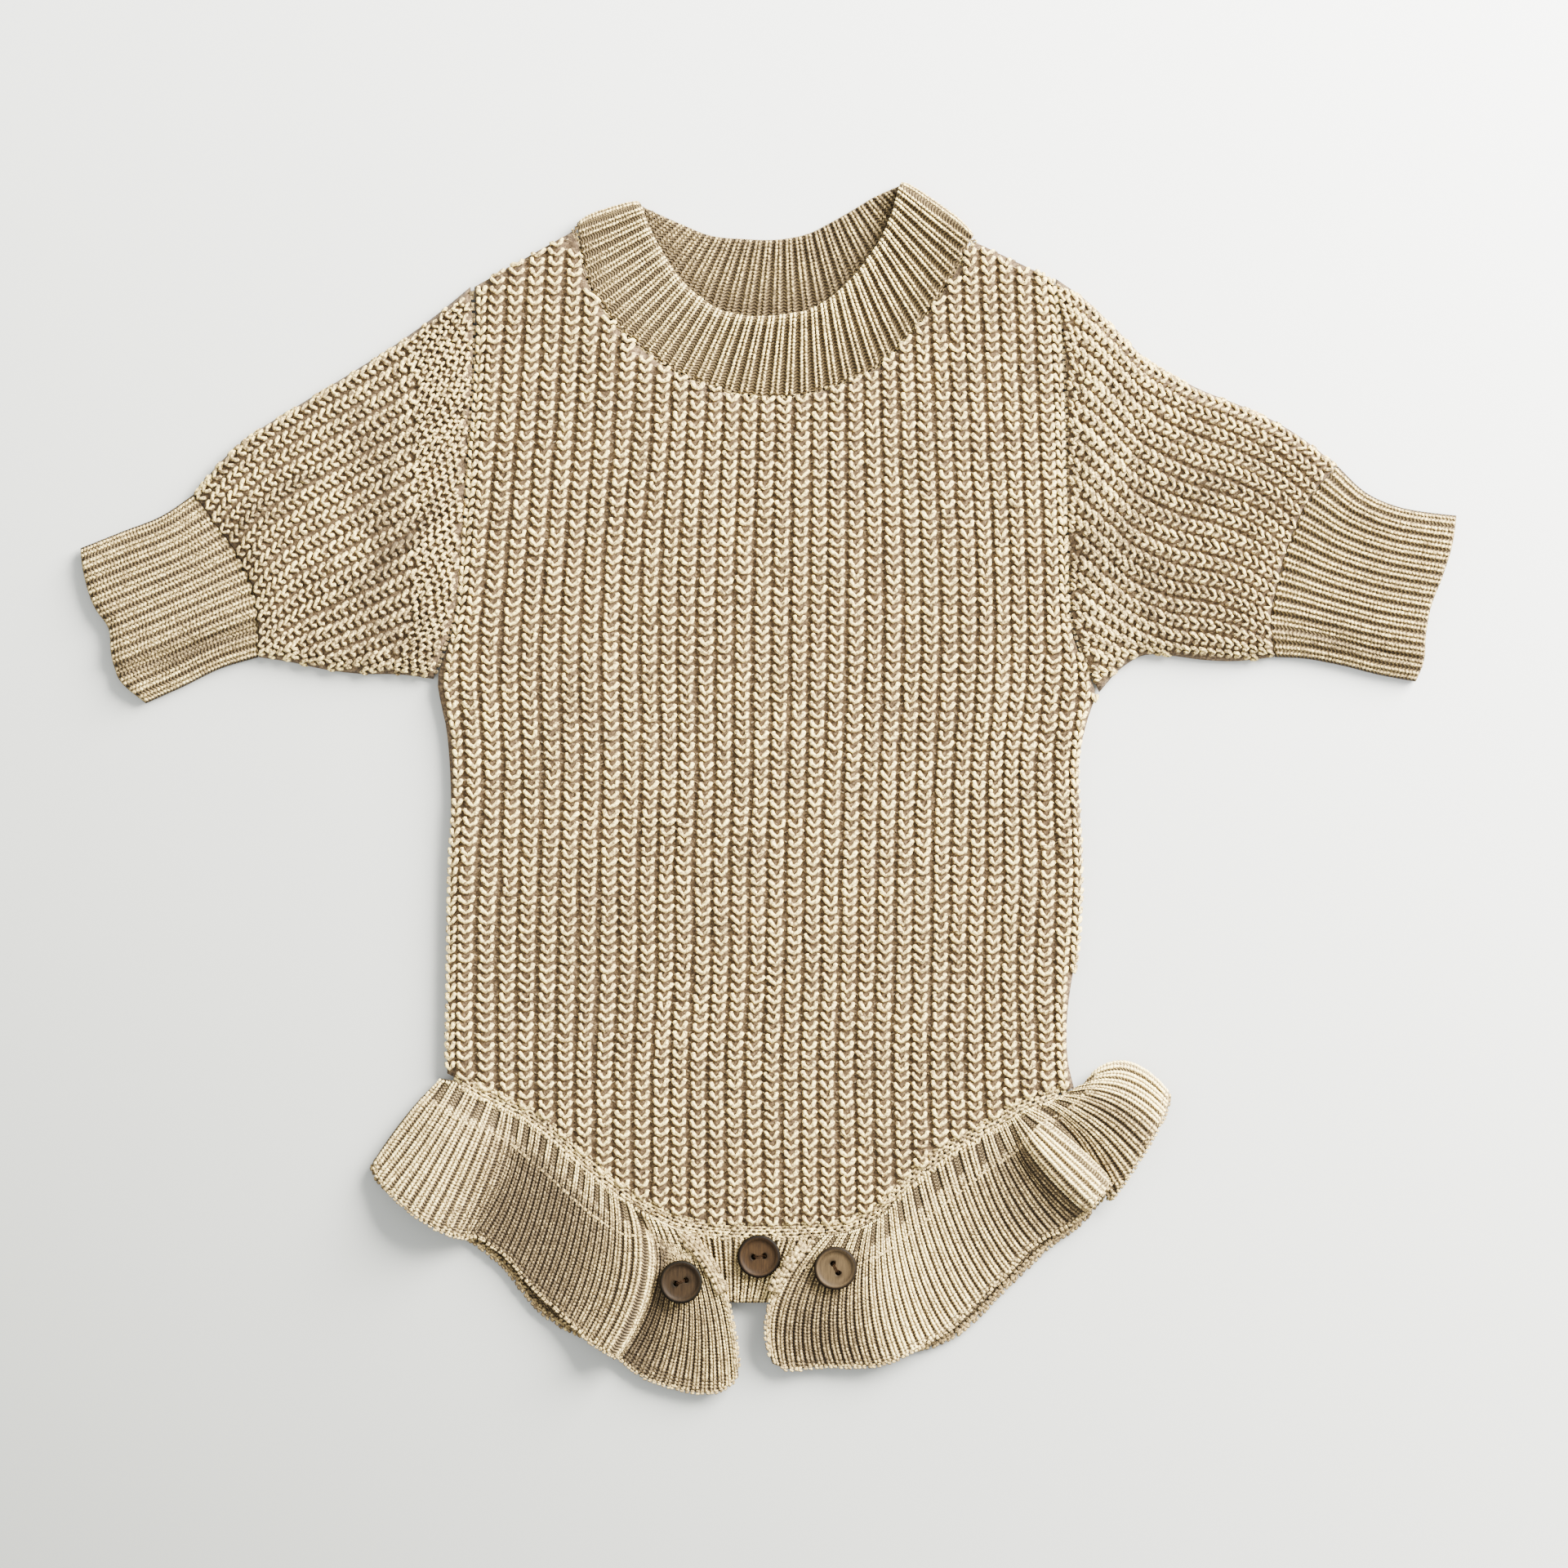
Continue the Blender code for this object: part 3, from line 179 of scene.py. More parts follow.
# Leg ruffles. Each row is one section across the strip, from the leg seam to the free edge:
# seam x, distance out from the seam, seam height, then x, y, height part of the way across and
# x, y, height at the free edge. Heights are those of the middle of the cloth. The back halves lie
# flat, so their rows hold only seam x, then x, y part of the way across and x, y at the free edge.
RUFFLE_LEFT_BACK = (
    (-41, -36, -183, -30, -214), (-51, -53, -180, -58, -206), (-66, -75, -166, -82, -193.5),
    (-82, -93, -151, -98, -175), (-100, -112, -138, -119, -160), (-114, -128, -127, -140.5, -147),
)
RUFFLE_LEFT_FRONT = (
    (-118.5, 2.6, 2.9, -131, -120, 3.4, -144.5, -139, 3.8),
    (-114.5, 0.6, 4.6, -125, -126, 6.6, -140.5, -147, 6.8),
    (-107, 0.5, 4.6, -117, -132, 9.4, -130.5, -156, 11.4),
    (-99.5, 0.5, 4.6, -107, -136.5, 9.6, -119.5, -163, 11),
    (-94, 0.5, 4.6, -99.5, -139.5, 7, -112, -165.5, 5.6),
    (-90, 0.5, 4.6, -95, -142.5, 4.4, -106.5, -165.5, 3.8),
    (-82, 0.5, 4.6, -87, -149.5, 4.2, -96, -173, 3.8),
    (-72.5, 0.5, 4.6, -77.5, -158.5, 4.4, -86.5, -184, 4.2),
    (-63.5, 0.5, 4.6, -66.5, -168, 5.6, -75.5, -194, 5.4),
    (-56, 0.5, 4.8, -55.5, -175.5, 7.6, -66, -203, 7.4),
    (-49.5, 0.5, 5.4, -45.5, -176, 10.4, -58, -208, 11.2),
    (-46.5, 0.5, 6.6, -42.8, -177, 8.6, -56, -208.5, 6),
    (-43.5, 0.6, 7.6, -40, -179, 7.8, -54, -211, 3.2),
    (-40.5, 0.7, 7.6, -35, -181.5, 7.7, -44.5, -217.5, 3.2),
    (-36, 0.8, 7.5, -28.5, -184, 7.6, -30, -222, 3.4),
    (-32, 0.8, 7.5, -22.5, -184, 7.6, -18.5, -222.2, 4),
    (-28.5, 0.8, 7.5, -17.5, -182, 7.6, -11, -217, 4.6),
)
RUFFLE_RIGHT_BACK = (
    (40, 34, -183, 24, -207.5), (47, 46, -182, 45, -207.5), (57, 62, -174, 67, -202),
    (69, 79, -158, 88, -182.5), (82, 92, -146, 102.5, -168.5), (92.5, 104, -137, 116, -158),
    (108, 124, -118, 141.5, -124),
)
RUFFLE_RIGHT_FRONT = (
    (113, 3.3, 2.9, 127, -102.5, 3.4, 146, -113.5, 3.8),
    (110.5, 1, 4.6, 126, -108.5, 6.8, 145, -120, 7.4),
    (106.5, 0.5, 4.6, 121.5, -116.5, 9, 139.5, -130.5, 11.2),
    (102, 0.5, 4.6, 116.5, -122.5, 8.4, 133.5, -140, 10.2),
    (98, 0.5, 4.6, 112, -126.5, 6.2, 126, -151.5, 6.2),
    (95, 0.5, 4.6, 108.5, -128, 6.4, 125, -147.5, 4.6),
    (92.5, 0.5, 4.8, 106, -129.5, 10.2, 124.5, -146.5, 9.8),
    (90, 0.5, 4.8, 101.5, -135, 11.2, 119, -153, 11.2),
    (87.5, 0.5, 4.6, 98, -139.5, 7.4, 115, -157, 6.8),
    (84.5, 0.5, 4.6, 94.5, -143, 4.6, 109.5, -161.5, 4),
    (77, 0.5, 4.6, 84, -149.5, 4.4, 96.5, -169, 3.8),
    (68, 0.5, 4.6, 76, -157, 4.4, 88.5, -178, 3.8),
    (57.5, 0.5, 4.6, 65.5, -166, 4.6, 77.5, -188.5, 4),
    (49, 0.5, 4.8, 55, -175, 5.4, 66.5, -199, 4.6),
    (43, 0.6, 6.2, 46.5, -180.5, 6.8, 55, -206, 5.6),
    (38.5, 0.7, 7.4, 38, -184.5, 7.6, 44, -211.5, 5.8),
    (34, 0.8, 7.5, 29, -187, 7.6, 33, -213, 4.4),
    (28.5, 0.8, 7.5, 18.5, -187.5, 7.6, 19.5, -213, 3.6),
    (23, 0.8, 7.5, 9.5, -186.5, 7.6, 8, -214, 4.2),
    (18.5, 0.8, 7.5, 2.5, -185, 7.6, 1.5, -212, 5),
)
RUFFLE_MIDDLE = 0.45

# Crotch band: half the button placket, under the ruffle ends.
BAND_TOP_X = (-37.5, 36)
BAND_BOTTOM_X = (-27, 15)
BAND_BOTTOM_Y = -188.5

# Two-hole buttons: centre x, y, turn of the line through the holes in degrees.
BUTTONS = {
    "button_left": (-32, -181.5, 20),
    "button_centre": (-3.5, -172.5, 5),
    "button_right": (24.5, -176.5, -60),
}
BUTTON_RADIUS = 7.9
BUTTON_THICK = 3.2
BUTTON_HOLE_APART = 3.8

# Folds of the front: a point x, y on each, its slant, half its width, half its reach, its height.
BODY_FOLDS = (
    (-100, 25, 0.5, 6, 22, -0.5), (-110, 5, 0.15, 5, 30, 0.35), (101, 20, -0.45, 6, 24, -0.5),
    (108, -5, -0.1, 5, 30, 0.35), (-8, 96, 0, 9, 34, -0.35), (40, -60, 0.1, 14, 60, 0.25),
    (-55, -95, 0.15, 12, 40, -0.25), (60, -120, -0.5, 8, 22, -0.4),
)
# Body edge, gap, underarm y, wrist, upper and lower fold of each sleeve.
SLEEVE_EDGES = {
    "left": (LEFT_SIDE, -ARMHOLE_GAP, 39, WRIST_LEFT, SLEEVE_LEFT_TOP, SLEEVE_LEFT_BOTTOM),
    "right": (RIGHT_SIDE, ARMHOLE_GAP, 34, WRIST_RIGHT, SLEEVE_RIGHT_TOP, SLEEVE_RIGHT_BOTTOM),
}
# Folds of the sleeves and cuffs, and their painted shades (painted shade in the creases, painted
# light on a ridge), run like the front's, but x is the share across and y the share along, and the
# width of a shade is a share too. A cut is the piece all round, in metres.
SLEEVES = {
    "left": {
        "folds": (
            (0.455, 0.1, 0.05, 7, 0.3, -0.5), (0.676, 0.3, -0.08, 9, 0.4, 0.5),
            (0.205, 0.9, -0.05, 6, 0.4, -0.4),
        ),
        "painted_shades": (
            (0.5, 0.5, 0, 5, 5, -0.15), (0.3, 0.75, 0.2, 0.06, 0.3, -0.25),
            (0.62, 0.3, 0.5, 0.05, 0.2, -0.35), (0.5, 0.36, 0, 0.35, 0.1, -0.3),
            (0.35, 0.6, 0, 0.2, 0.14, 0.15), (0.9, 0.3, 0, 0.12, 0.5, -0.2),
        ),
        "unruly": 0.8, "crowded": 0.2, "cut": (0.29, 0.127), "area": 0.0191,
    },
    "right": {
        "folds": (
            (0.545, 0.1, -0.05, 7, 0.3, -0.5), (0.7325, 0.35, -0.05, 8, 0.3, -0.7),
            (0.3, 0.7, 0, 9, 0.4, 0.4),
        ),
        "painted_shades": (
            (0.5, 0.5, 0, 5, 5, -0.15), (0.35, 0.7, -0.2, 0.05, 0.3, -0.25),
            (0.55, 0.35, -0.4, 0.05, 0.2, -0.3), (0.72, 0.4, 0.15, 0.1, 0.4, -0.25),
            (0.9, 0.6, 0, 0.1, 0.4, -0.15),
        ),
        "unruly": 0.5, "crowded": 0.02, "cut": (0.307, 0.125), "area": 0.0189,
    },
}
CUFFS = {
    "left": {
        "edges": (WRIST_LEFT, CUFF_LEFT_END, CUFF_LEFT_TOP, CUFF_LEFT_BOTTOM),
        "folds": ((0.785, 0.5, -0.09, 1.6, 2, -1.5), (0.7, 0.5, -0.08, 3, 2, 0.6)),
        "painted_shades": ((0.78, 0.5, -0.1, 0.05, 0.6, -0.45), (0.4, 0.5, 0, 1.5, 1.5, -0.2)),
        "cut": (0.132, 0.057), "area": 0.0067,
    },
    "right": {
        "edges": (WRIST_RIGHT, CUFF_RIGHT_END, CUFF_RIGHT_TOP, CUFF_RIGHT_BOTTOM),
        "folds": ((0.84, 0.5, 0.08, 1.8, 2, -1),),
        "painted_shades": ((0.85, 0.5, 0, 0.06, 0.6, -0.3), (0.4, 0.5, 0, 1.5, 1.5, -0.2)),
        "cut": (0.152, 0.058), "area": 0.0073,
    },
}
# Of each ruffle: its table; its painted fold light at each row of its front, which lifts the yarn's
# colour on the lit folds and sinks it in their shade; its ribs counted from the front's first row, as
# pairs of row and count; ribs from gather to gather; and the turned-in end, as points x, y, height along
# its roll.
RUFFLES = {
    "left": {
        "back_rows": RUFFLE_LEFT_BACK, "front_rows": RUFFLE_LEFT_FRONT,
        "painted_fold_light": (
            -0.08, -0.05, 0, -0.12, -0.36, -0.56, -0.62, -0.6, -0.5, -0.3, -0.12, -0.1, -0.85, -0.48,
            -0.32, -0.2, -0.1,
        ),
        "ribs": ((0, 0), (4, 10.5), (9, 30.5), (12, 35), (16, 49)), "gather": 2.5,
        "roll": ((-34, -163, 8), (-26.5, -169.5, 9.2), (-20, -178.5, 9.6), (-15.5, -188.5, 9.2)),
        "cut": (0.323, 0.053), "area": 0.0152,
    },
    "right": {
        "back_rows": RUFFLE_RIGHT_BACK, "front_rows": RUFFLE_RIGHT_FRONT,
        "painted_fold_light": (
            0.15, 0.3, -0.3, -0.1, -0.4, -0.65, 0.1, 0.25, -0.6, -0.5, -0.3, -0.15, -0.05, 0, 0.1,
            -0.05, -0.4, -0.5, -0.4, -0.2,
        ),
        "ribs": ((0, 0), (5, 11.5), (8, 16.5), (13, 33.5), (15, 40.5), (19, 53)), "gather": 3,
        "roll": ((15.5, -166, 8), (9.5, -172.5, 9.4), (4, -180, 9.6), (0.5, -188, 9.2)),
        "cut": (0.382, 0.049), "area": 0.016,
    },
}


# ---------------------------------------------------------------- curves


def smooth(keys, values, at):
    """Reads a smooth curve through a table: cubic pieces, with each row's slope from its neighbours."""
    keys, values, at = np.asarray(keys, float), np.asarray(values, float), np.asarray(at, float)
    slopes = np.gradient(values, keys, axis=0)
    row = np.clip(np.searchsorted(keys, at) - 1, 0, len(keys) - 2)
    length = keys[row + 1] - keys[row]
    u = (at - keys[row]) / length
    if values.ndim > 1:
        length, u = length[..., None], u[..., None]
    level = (1 + 2 * u) * (1 - u) ** 2 * values[row] + u**2 * (3 - 2 * u) * values[row + 1]
    return level + u * (1 - u) * length * ((1 - u) * slopes[row] - u * slopes[row + 1])


def lengths(points):
    """Length of a line of points up to each of them, or of each line in a stack."""
    steps = np.linalg.norm(np.diff(points, axis=-2), axis=-1)
    return np.concatenate([np.zeros((*steps.shape[:-1], 1)), np.cumsum(steps, axis=-1)], axis=-1)


def along(points, share):
    """Points at these shares of a curve's length; the curve runs smoothly through `points`."""
    points = np.asarray(points, float)
    run = lengths(points)
    return smooth(run / run[-1], points, share)


def unit(vectors):
    """The same directions at length one."""
    return vectors / np.maximum(np.linalg.norm(vectors, axis=-1, keepdims=True), 1e-9)


def moved_out(points, distance, count=120):
    """The smooth curve through `points`, moved `distance` to the right of its direction."""
    curve = along(points, np.linspace(0, 1, count))
    right = unit(np.gradient(curve, axis=0))[:, ::-1] * [1, -1]
    return curve + np.broadcast_to(distance, count)[:, None] * right


def read_line(line, x):
    """y at x on a line of points x, y."""
    return np.interp(x, *np.array(line).T)


def raised(plan, z):
    """Points of x, y given their heights."""
    return np.concatenate([plan, np.broadcast_to(z, plan.shape[:-1])[..., None]], axis=-1)


def read_grid(grid, column, row):
    """Reads a grid of points between its columns and rows."""
    column = np.clip(column, 0, grid.shape[0] - 1.001)
    row = np.clip(row, 0, grid.shape[1] - 1.001)
    i, j = column.astype(int), row.astype(int)
    u, v = (column - i)[..., None], (row - j)[..., None]
    near = grid[i, j] * (1 - v) + grid[i, j + 1] * v
    return near * (1 - u) + (grid[i + 1, j] * (1 - v) + grid[i + 1, j + 1] * v) * u


def ease(u):
    """0 below 0, 1 above 1, and a smooth step between."""
    u = np.clip(u, 0, 1)
    return u * u * (3 - 2 * u)


def rounded(distance, radius):
    """Height share of a quarter round: 0 at the edge, 1 from `radius` inwards."""
    return np.sqrt(1 - (1 - np.clip(distance / radius, 0, 1)) ** 2)


def bell(distance, width):
    """A bell curve: 1 at nought, about a third at `width`."""
    return np.exp(-((distance / width) ** 2))


def sway(a, b):
    """Slow unevenness from -1 to 1: the mean of four sine waves that run across each other."""
    waves = ((0.11, 0.043, 0.6), (0.07, -0.061, 2.1), (0.19, 0.027, 4.0), (-0.05, 0.13, 1.3))
    return sum(np.sin(p * a + q * b + start) for p, q, start in waves) / 4


def creases(x, y, folds, scale=1.0):
    """Sum of folds: each height times one bell curve across its slanted line and one along it.

    A fold is a point x, y on it, its slant, half its width over `scale`, half its reach, its height.
    """
    return sum(
        height * bell((x - x0 - slant * (y - y0)) * scale, width) * bell(y - y0, reach)
        for x0, y0, slant, width, reach, height in folds
    )


# ---------------------------------------------------------------- meshes


def add_object(name, data):
    """Puts a new object in the scene."""
    made = bpy.data.objects.new(name, data)
    bpy.context.collection.objects.link(made)
    return made


def paint_points(mesh, title, values):
    """Gives each point one value or one triple, for the material to read."""
    values = np.asarray(values, np.float32)
    kind, field = ("FLOAT", "value") if values.ndim == 1 else ("FLOAT_VECTOR", "vector")
    mesh.attributes.new(title, kind, "POINT").data.foreach_set(field, values.ravel())


def add_piece(name, points, faces, paint, finish, node=None):
    """Makes one mesh from points in millimetres and arrays of faces, and rides it on the body."""
    mesh = bpy.data.meshes.new(name)
    corners = np.concatenate([block.ravel() for block in faces]).astype(np.int32)
    sizes = np.concatenate([np.full(len(block), block.shape[1]) for block in faces])
    mesh.vertices.add(len(points))
    mesh.vertices.foreach_set("co", (np.asarray(points, float) * 0.001).ravel())
    mesh.loops.add(len(corners))
    mesh.loops.foreach_set("vertex_index", corners)
    mesh.polygons.add(len(sizes))
    mesh.polygons.foreach_set("loop_start", np.concatenate([[0], np.cumsum(sizes)[:-1]]))
    mesh.update(calc_edges=True)
    mesh.validate()
    for title, values in paint.items():
        paint_points(mesh, title, values)
    mesh.polygons.foreach_set("use_smooth", np.ones(len(sizes), bool))
    mesh.materials.append(finish)
    piece = add_object(name, mesh)
    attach(piece, ROOT)
    if node:
        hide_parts(node)
    return piece


def face_outwards(piece):
    """Turns a closed mesh's faces outwards."""
    body = bmesh.new()
    body.from_mesh(piece.data)
    bmesh.ops.recalc_face_normals(body, faces=body.faces)
    body.to_mesh(piece.data)
    body.free()
    return piece


def quads(first, second):
    """Faces between two lines of point numbers, or between two stacks of lines."""
    return np.stack([first[..., :-1], second[..., :-1], second[..., 1:], first[..., 1:]], -1).reshape(-1, 4)


def cloth(name, outer, inner, ring, paint, finish, node):
    """A wall of cloth between two equal grids, closed along its open edges.

    `paint` maps an attribute's name to its values on the outer and on the inner grid.
    """
    grid = np.arange(outer[..., 0].size * 2).reshape(2, *outer.shape[:2])
    if ring:
        grid = np.concatenate([grid, grid[:, :1]], axis=1)
    outside, inside = grid
    faces = [quads(outside[:-1], outside[1:]), quads(inside[:-1], inside[1:])[:, ::-1]]
    faces += [quads(outside[:, 0], inside[:, 0]), quads(outside[:, -1], inside[:, -1])[:, ::-1]]
    if not ring:
        faces += [quads(outside[0], inside[0])[:, ::-1], quads(outside[-1], inside[-1])]
    points = np.concatenate([outer.reshape(-1, 3), inner.reshape(-1, 3)])

    def every_point(values):
        values = np.broadcast_to(values, (*outer.shape[:2], *np.shape(values)[2:]))
        return values.reshape(-1, *values.shape[2:])

    paint = {title: np.concatenate([every_point(side) for side in both]) for title, both in paint.items()}
    return face_outwards(add_piece(name, points, faces, paint, finish, node))


def yarns(name, paths, up, wide, high, finish, sides, swell, painted_shade_along=1.0, tone_and_shade=0.0):
    """Many short plump lengths of yarn, each along its own path of ring centres.

    A length is a ring of `sides` points round every place of its path, `wide` across and `high`
    upwards times that place's `swell`, closed by a point a little beyond each end. "shade" is painted
    light and shade: 1 on its crown and 0 underneath, times `painted_shade_along`; "tone_and_shade" is one
    random value for each length round `tone_and_shade`, where painted light and shade are given.
    """
    count, rings = paths.shape[:2]
    wide, high = (np.broadcast_to(value, count)[:, None, None, None] for value in (wide, high))
    tangent = unit(np.gradient(paths, axis=1))
    side = unit(np.cross(tangent, np.broadcast_to(up, (count, 3))[:, None]))
    top = np.cross(side, tangent)
    turn = np.pi / 2 + np.arange(sides) * 2 * np.pi / sides
    across, above = np.cos(turn)[:, None], np.sin(turn)[:, None]
    swell = np.array(swell, float)[:, None, None]
    skin = paths[:, :, None] + side[:, :, None] * wide * swell * across
    skin = skin + top[:, :, None] * high * swell * above
    reach = 0.5 * wide[:, 0, 0]
    tips = np.stack([paths[:, 0] - tangent[:, 0] * reach, paths[:, -1] + tangent[:, -1] * reach], axis=1)
    points = np.concatenate([tips, skin.reshape(count, -1, 3)], axis=1)
    ring = np.arange(2, 2 + rings * sides).reshape(rings, sides)
    ring = np.concatenate([ring, ring[:, :1]], axis=1)
    ends = ((0, ring[0, :-1], ring[0, 1:]), (1, ring[-1, 1:], ring[-1, :-1]))
    ends = np.concatenate([np.stack([np.full(sides, tip), a, b], -1) for tip, a, b in ends])
    shift = (np.arange(count) * points.shape[1])[:, None, None]
    faces = [(block + shift).reshape(-1, block.shape[1]) for block in (ends, quads(ring[:-1], ring[1:]))]
    painted_shade_along = np.broadcast_to(painted_shade_along, rings)
    shade = np.append(0.3 * painted_shade_along[[0, -1]], painted_shade_along[:, None] * (0.5 + 0.5 * np.sin(turn)))
    tone_and_shade = rng.uniform(-0.12, 0.12, count) + tone_and_shade
    paint = {"shade": np.tile(shade, count), "tone_and_shade": np.repeat(tone_and_shade, len(shade))}
    return add_piece(name, points.reshape(-1, 3), faces, paint, finish)


def strands(name, start, end, up, wide, high, arch, finish, tone_and_shade=0.0, sides=5, places=(0.27, 0.73)):
    """Straight lengths of yarn from start to end, each rising by `arch` in half a sine wave."""
    t = np.array(places)
    up = np.broadcast_to(up, start.shape)
    paths = start[:, None] + (end - start)[:, None] * t[:, None]
    paths = paths + up[:, None] * arch * np.sin(np.pi * t)[:, None]
    swell = np.sqrt(1 - 0.4 * (2 * t - 1) ** 2)
    return yarns(name, paths, up, wide, high, finish, sides, swell, 1.0, tone_and_shade)


def weave(number, run, rib):
    """What `fine_knit` reads at every point: its place in ribs, along them, and the rib's height with any
    painted light and shade added.
    """
    return np.dstack(np.broadcast_arrays(number, run, rib))


# ---------------------------------------------------------------- finishes


def linear(colour):
    """sRGB hex to linear red, green, blue and alpha."""
    srgb = np.array([int(colour[i : i + 2], 16) / 255 for i in (0, 2, 4)])
    rgb = np.where(srgb <= 0.04045, srgb / 12.92, ((srgb + 0.055) / 1.055) ** 2.4)
    return (*rgb.tolist(), 1.0)


def join(tree, node, **inputs):
    """Sets a node's inputs: each is a socket to link or a value, and its name may be a number, i0."""
    for title, value in inputs.items():
        key = int(title[1:]) if title[1:].isdigit() else title.replace("_", " ")
        if isinstance(value, bpy.types.NodeSocket):
            tree.links.new(value, node.inputs[key])
        else:
            node.inputs[key].default_value = value
    return node


def add_node(tree, kind, settings=(), **inputs):
    """Adds one node with its settings and its inputs."""
    made = tree.nodes.new(kind)
    for title, value in dict(settings).items():
        setattr(made, title, value)
    return join(tree, made, **inputs)


def maths(tree, operation, *values):
    """One sum of one, two or three values."""
    inputs = {f"i{place}": value for place, value in enumerate(values)}
    return add_node(tree, "ShaderNodeMath", {"operation": operation}, **inputs).outputs[0]


def weighed(tree, level, *terms):
    """A level plus each socket times its weight."""
    for socket, weight in terms:
        level = maths(tree, "MULTIPLY_ADD", socket, weight, level)
    return level


def colour_ramp(tree, factor, *stops):
    """Colours at places from 0 to 1, in order."""
    ramp = add_node(tree, "ShaderNodeValToRGB", Fac=factor)
    for place, _ in stops[1:-1]:
        ramp.color_ramp.elements.new(place)
    for element, (place, colour) in zip(ramp.color_ramp.elements, stops):
        element.position, element.color = place, linear(colour)
    return ramp.outputs["Color"]


def new_finish(name):
    """A material with its tree, its shader and the piece's own coordinates in metres."""
    made = bpy.data.materials.new(name)
    made.use_nodes = True
    tree = made.node_tree
    return made, tree, tree.nodes["Principled BSDF"], add_node(tree, "ShaderNodeTexCoord").outputs["Object"]


def noise(tree, place, size, detail, rough):
    """Noise whose grains are about `size` millimetres across."""
    inputs = {"Vector": place, "Scale": 1000 / size, "Detail": detail, "Roughness": rough}
    return add_node(tree, "ShaderNodeTexNoise", **inputs).outputs["Fac"]


def read(tree, title, output="Fac"):
    """The piece's own painted value."""
    return add_node(tree, "ShaderNodeAttribute", {"attribute_name": title}).outputs[output]


def relief(tree, height, depth, strength):
    """The normal of a surface roughened by `height`, `depth` in metres."""
    inputs = {"Height": height, "Distance": depth, "Strength": strength}
    return add_node(tree, "ShaderNodeBump", **inputs).outputs["Normal"]


def yarn(name, *stops, mottle=3.2, gloss=0.2, roughness=0.92):
    """Soft spun cotton yarn: matt, hairy, with lighter and darker fibres, and painted shade where it dips.

    The colour runs through `stops` by the painted "shade" (light on the strand's crown, dark
    underneath), moved by flecks of 1.1 mm, by slow clouds and by each strand's "tone_and_shade": its
    own random tone plus any painted light and shade; the bump is the same flecks.
    """
    made, tree, shader, place = new_finish(name)
    grain, cloud = noise(tree, place, 1.1, 3.0, 0.75), noise(tree, place, 14.0, 2.0, 0.5)
    level = weighed(
        tree, -0.5 * mottle - 0.125, (grain, mottle), (cloud, 0.25), (read(tree, "shade"), 0.72),
        (read(tree, "tone_and_shade"), 1.0),
    )
    join(tree, shader, Base_Color=colour_ramp(tree, level, *stops), Roughness=roughness,
         Specular_IOR_Level=gloss, Sheen_Weight=0.2 * gloss, Sheen_Roughness=0.6,
         Normal=relief(tree, grain, 0.0008, 0.9))
    return made


def fine_knit(name, *stops):
    """Fine rib knit of the same cotton, matt: two columns of small V stitches up each rib.

    "weave" holds a point's place in ribs, its place along the rib in millimetres and the level of its
    colour: the rib's own height there, so the grooves are painted shade, with painted light and shade of
    folds, rolls and cast shadows added on some pieces. A column's stitches are a wave along the rib that
    leans out to both sides.
    """
    made, tree, shader, place = new_finish(name)
    split = add_node(tree, "ShaderNodeSeparateXYZ", Vector=read(tree, "weave", "Vector"))
    ribs, run, height = split.outputs
    column = maths(tree, "PINGPONG", maths(tree, "MULTIPLY", ribs, 4.0), 1.0)
    turns = 2 * np.pi
    wave = weighed(tree, 0.0, (run, turns / FINE_COURSE), (column, 0.55 * turns))
    stitch = maths(tree, "SINE", wave)
    grain, cloud = noise(tree, place, 0.6, 3.0, 0.75), noise(tree, place, 12.0, 2.0, 0.5)
    level = weighed(tree, -0.45, (height, 0.62), (stitch, 0.25), (grain, 0.8), (cloud, 0.3))
    join(tree, shader, Base_Color=colour_ramp(tree, level, *stops), Roughness=0.92,
         Specular_IOR_Level=0.2, Normal=relief(tree, maths(tree, "ADD", stitch, grain), 0.0004, 0.8))
    return made


def turned_wood(name, pale, dark, rim):
    """Turned and lightly oiled hardwood: grain 0.5 mm apart drawn out one way, darker towards `rim` where the
    painted "shade" rises: at the rim, and as painted shade round the holes.
    """
    made, tree, shader, place = new_finish(name)
    inputs = {"Vector": place, "Scale": (1.0, 0.12, 1.0), "Rotation": (0.0, 0.0, 0.9)}
    drawn = add_node(tree, "ShaderNodeMapping", **inputs).outputs["Vector"]
    grain = noise(tree, drawn, 0.55, 4.0, 0.65)
    wood = colour_ramp(tree, grain, (0.3, dark), (0.7, pale))
    darker_rim_and_holes = add_node(
        tree, "ShaderNodeMix", {"data_type": "RGBA"}, i0=read(tree, "shade"), i6=wood, i7=linear(rim)
    )
    join(tree, shader, Base_Color=darker_rim_and_holes.outputs[2], Roughness=0.6, IOR=1.5, Specular_IOR_Level=0.06,
         Normal=relief(tree, grain, 0.0001, 0.4))
    return made


STITCH = yarn(
    "spun_yarn_stitches", (0.0, "4C3E27"), (0.3, "947D50"), (0.58, "D0B775"), (0.9, "FFE78E"), mottle=4.0
)
# Ground and floats: the same cotton painted darker, as painted shade deep between the stitches.
GROUND_PAINTED_SHADE = yarn("spun_yarn_ground_painted_shade", (0.0, "352818"), (0.5, "57452E"), (1.0, "867151"))
FLOATS_PAINTED_SHADE = yarn("spun_yarn_floats_painted_shade", (0.0, "4A3B25"), (0.5, "725F42"), (1.0, "A08B66"))
FINE = yarn(
    "spun_yarn_fine_stitches", (0.0, "4C3E27"), (0.3, "947D50"), (0.55, "D0B775"), (0.8, "FFEAA0"), mottle=1.8
)
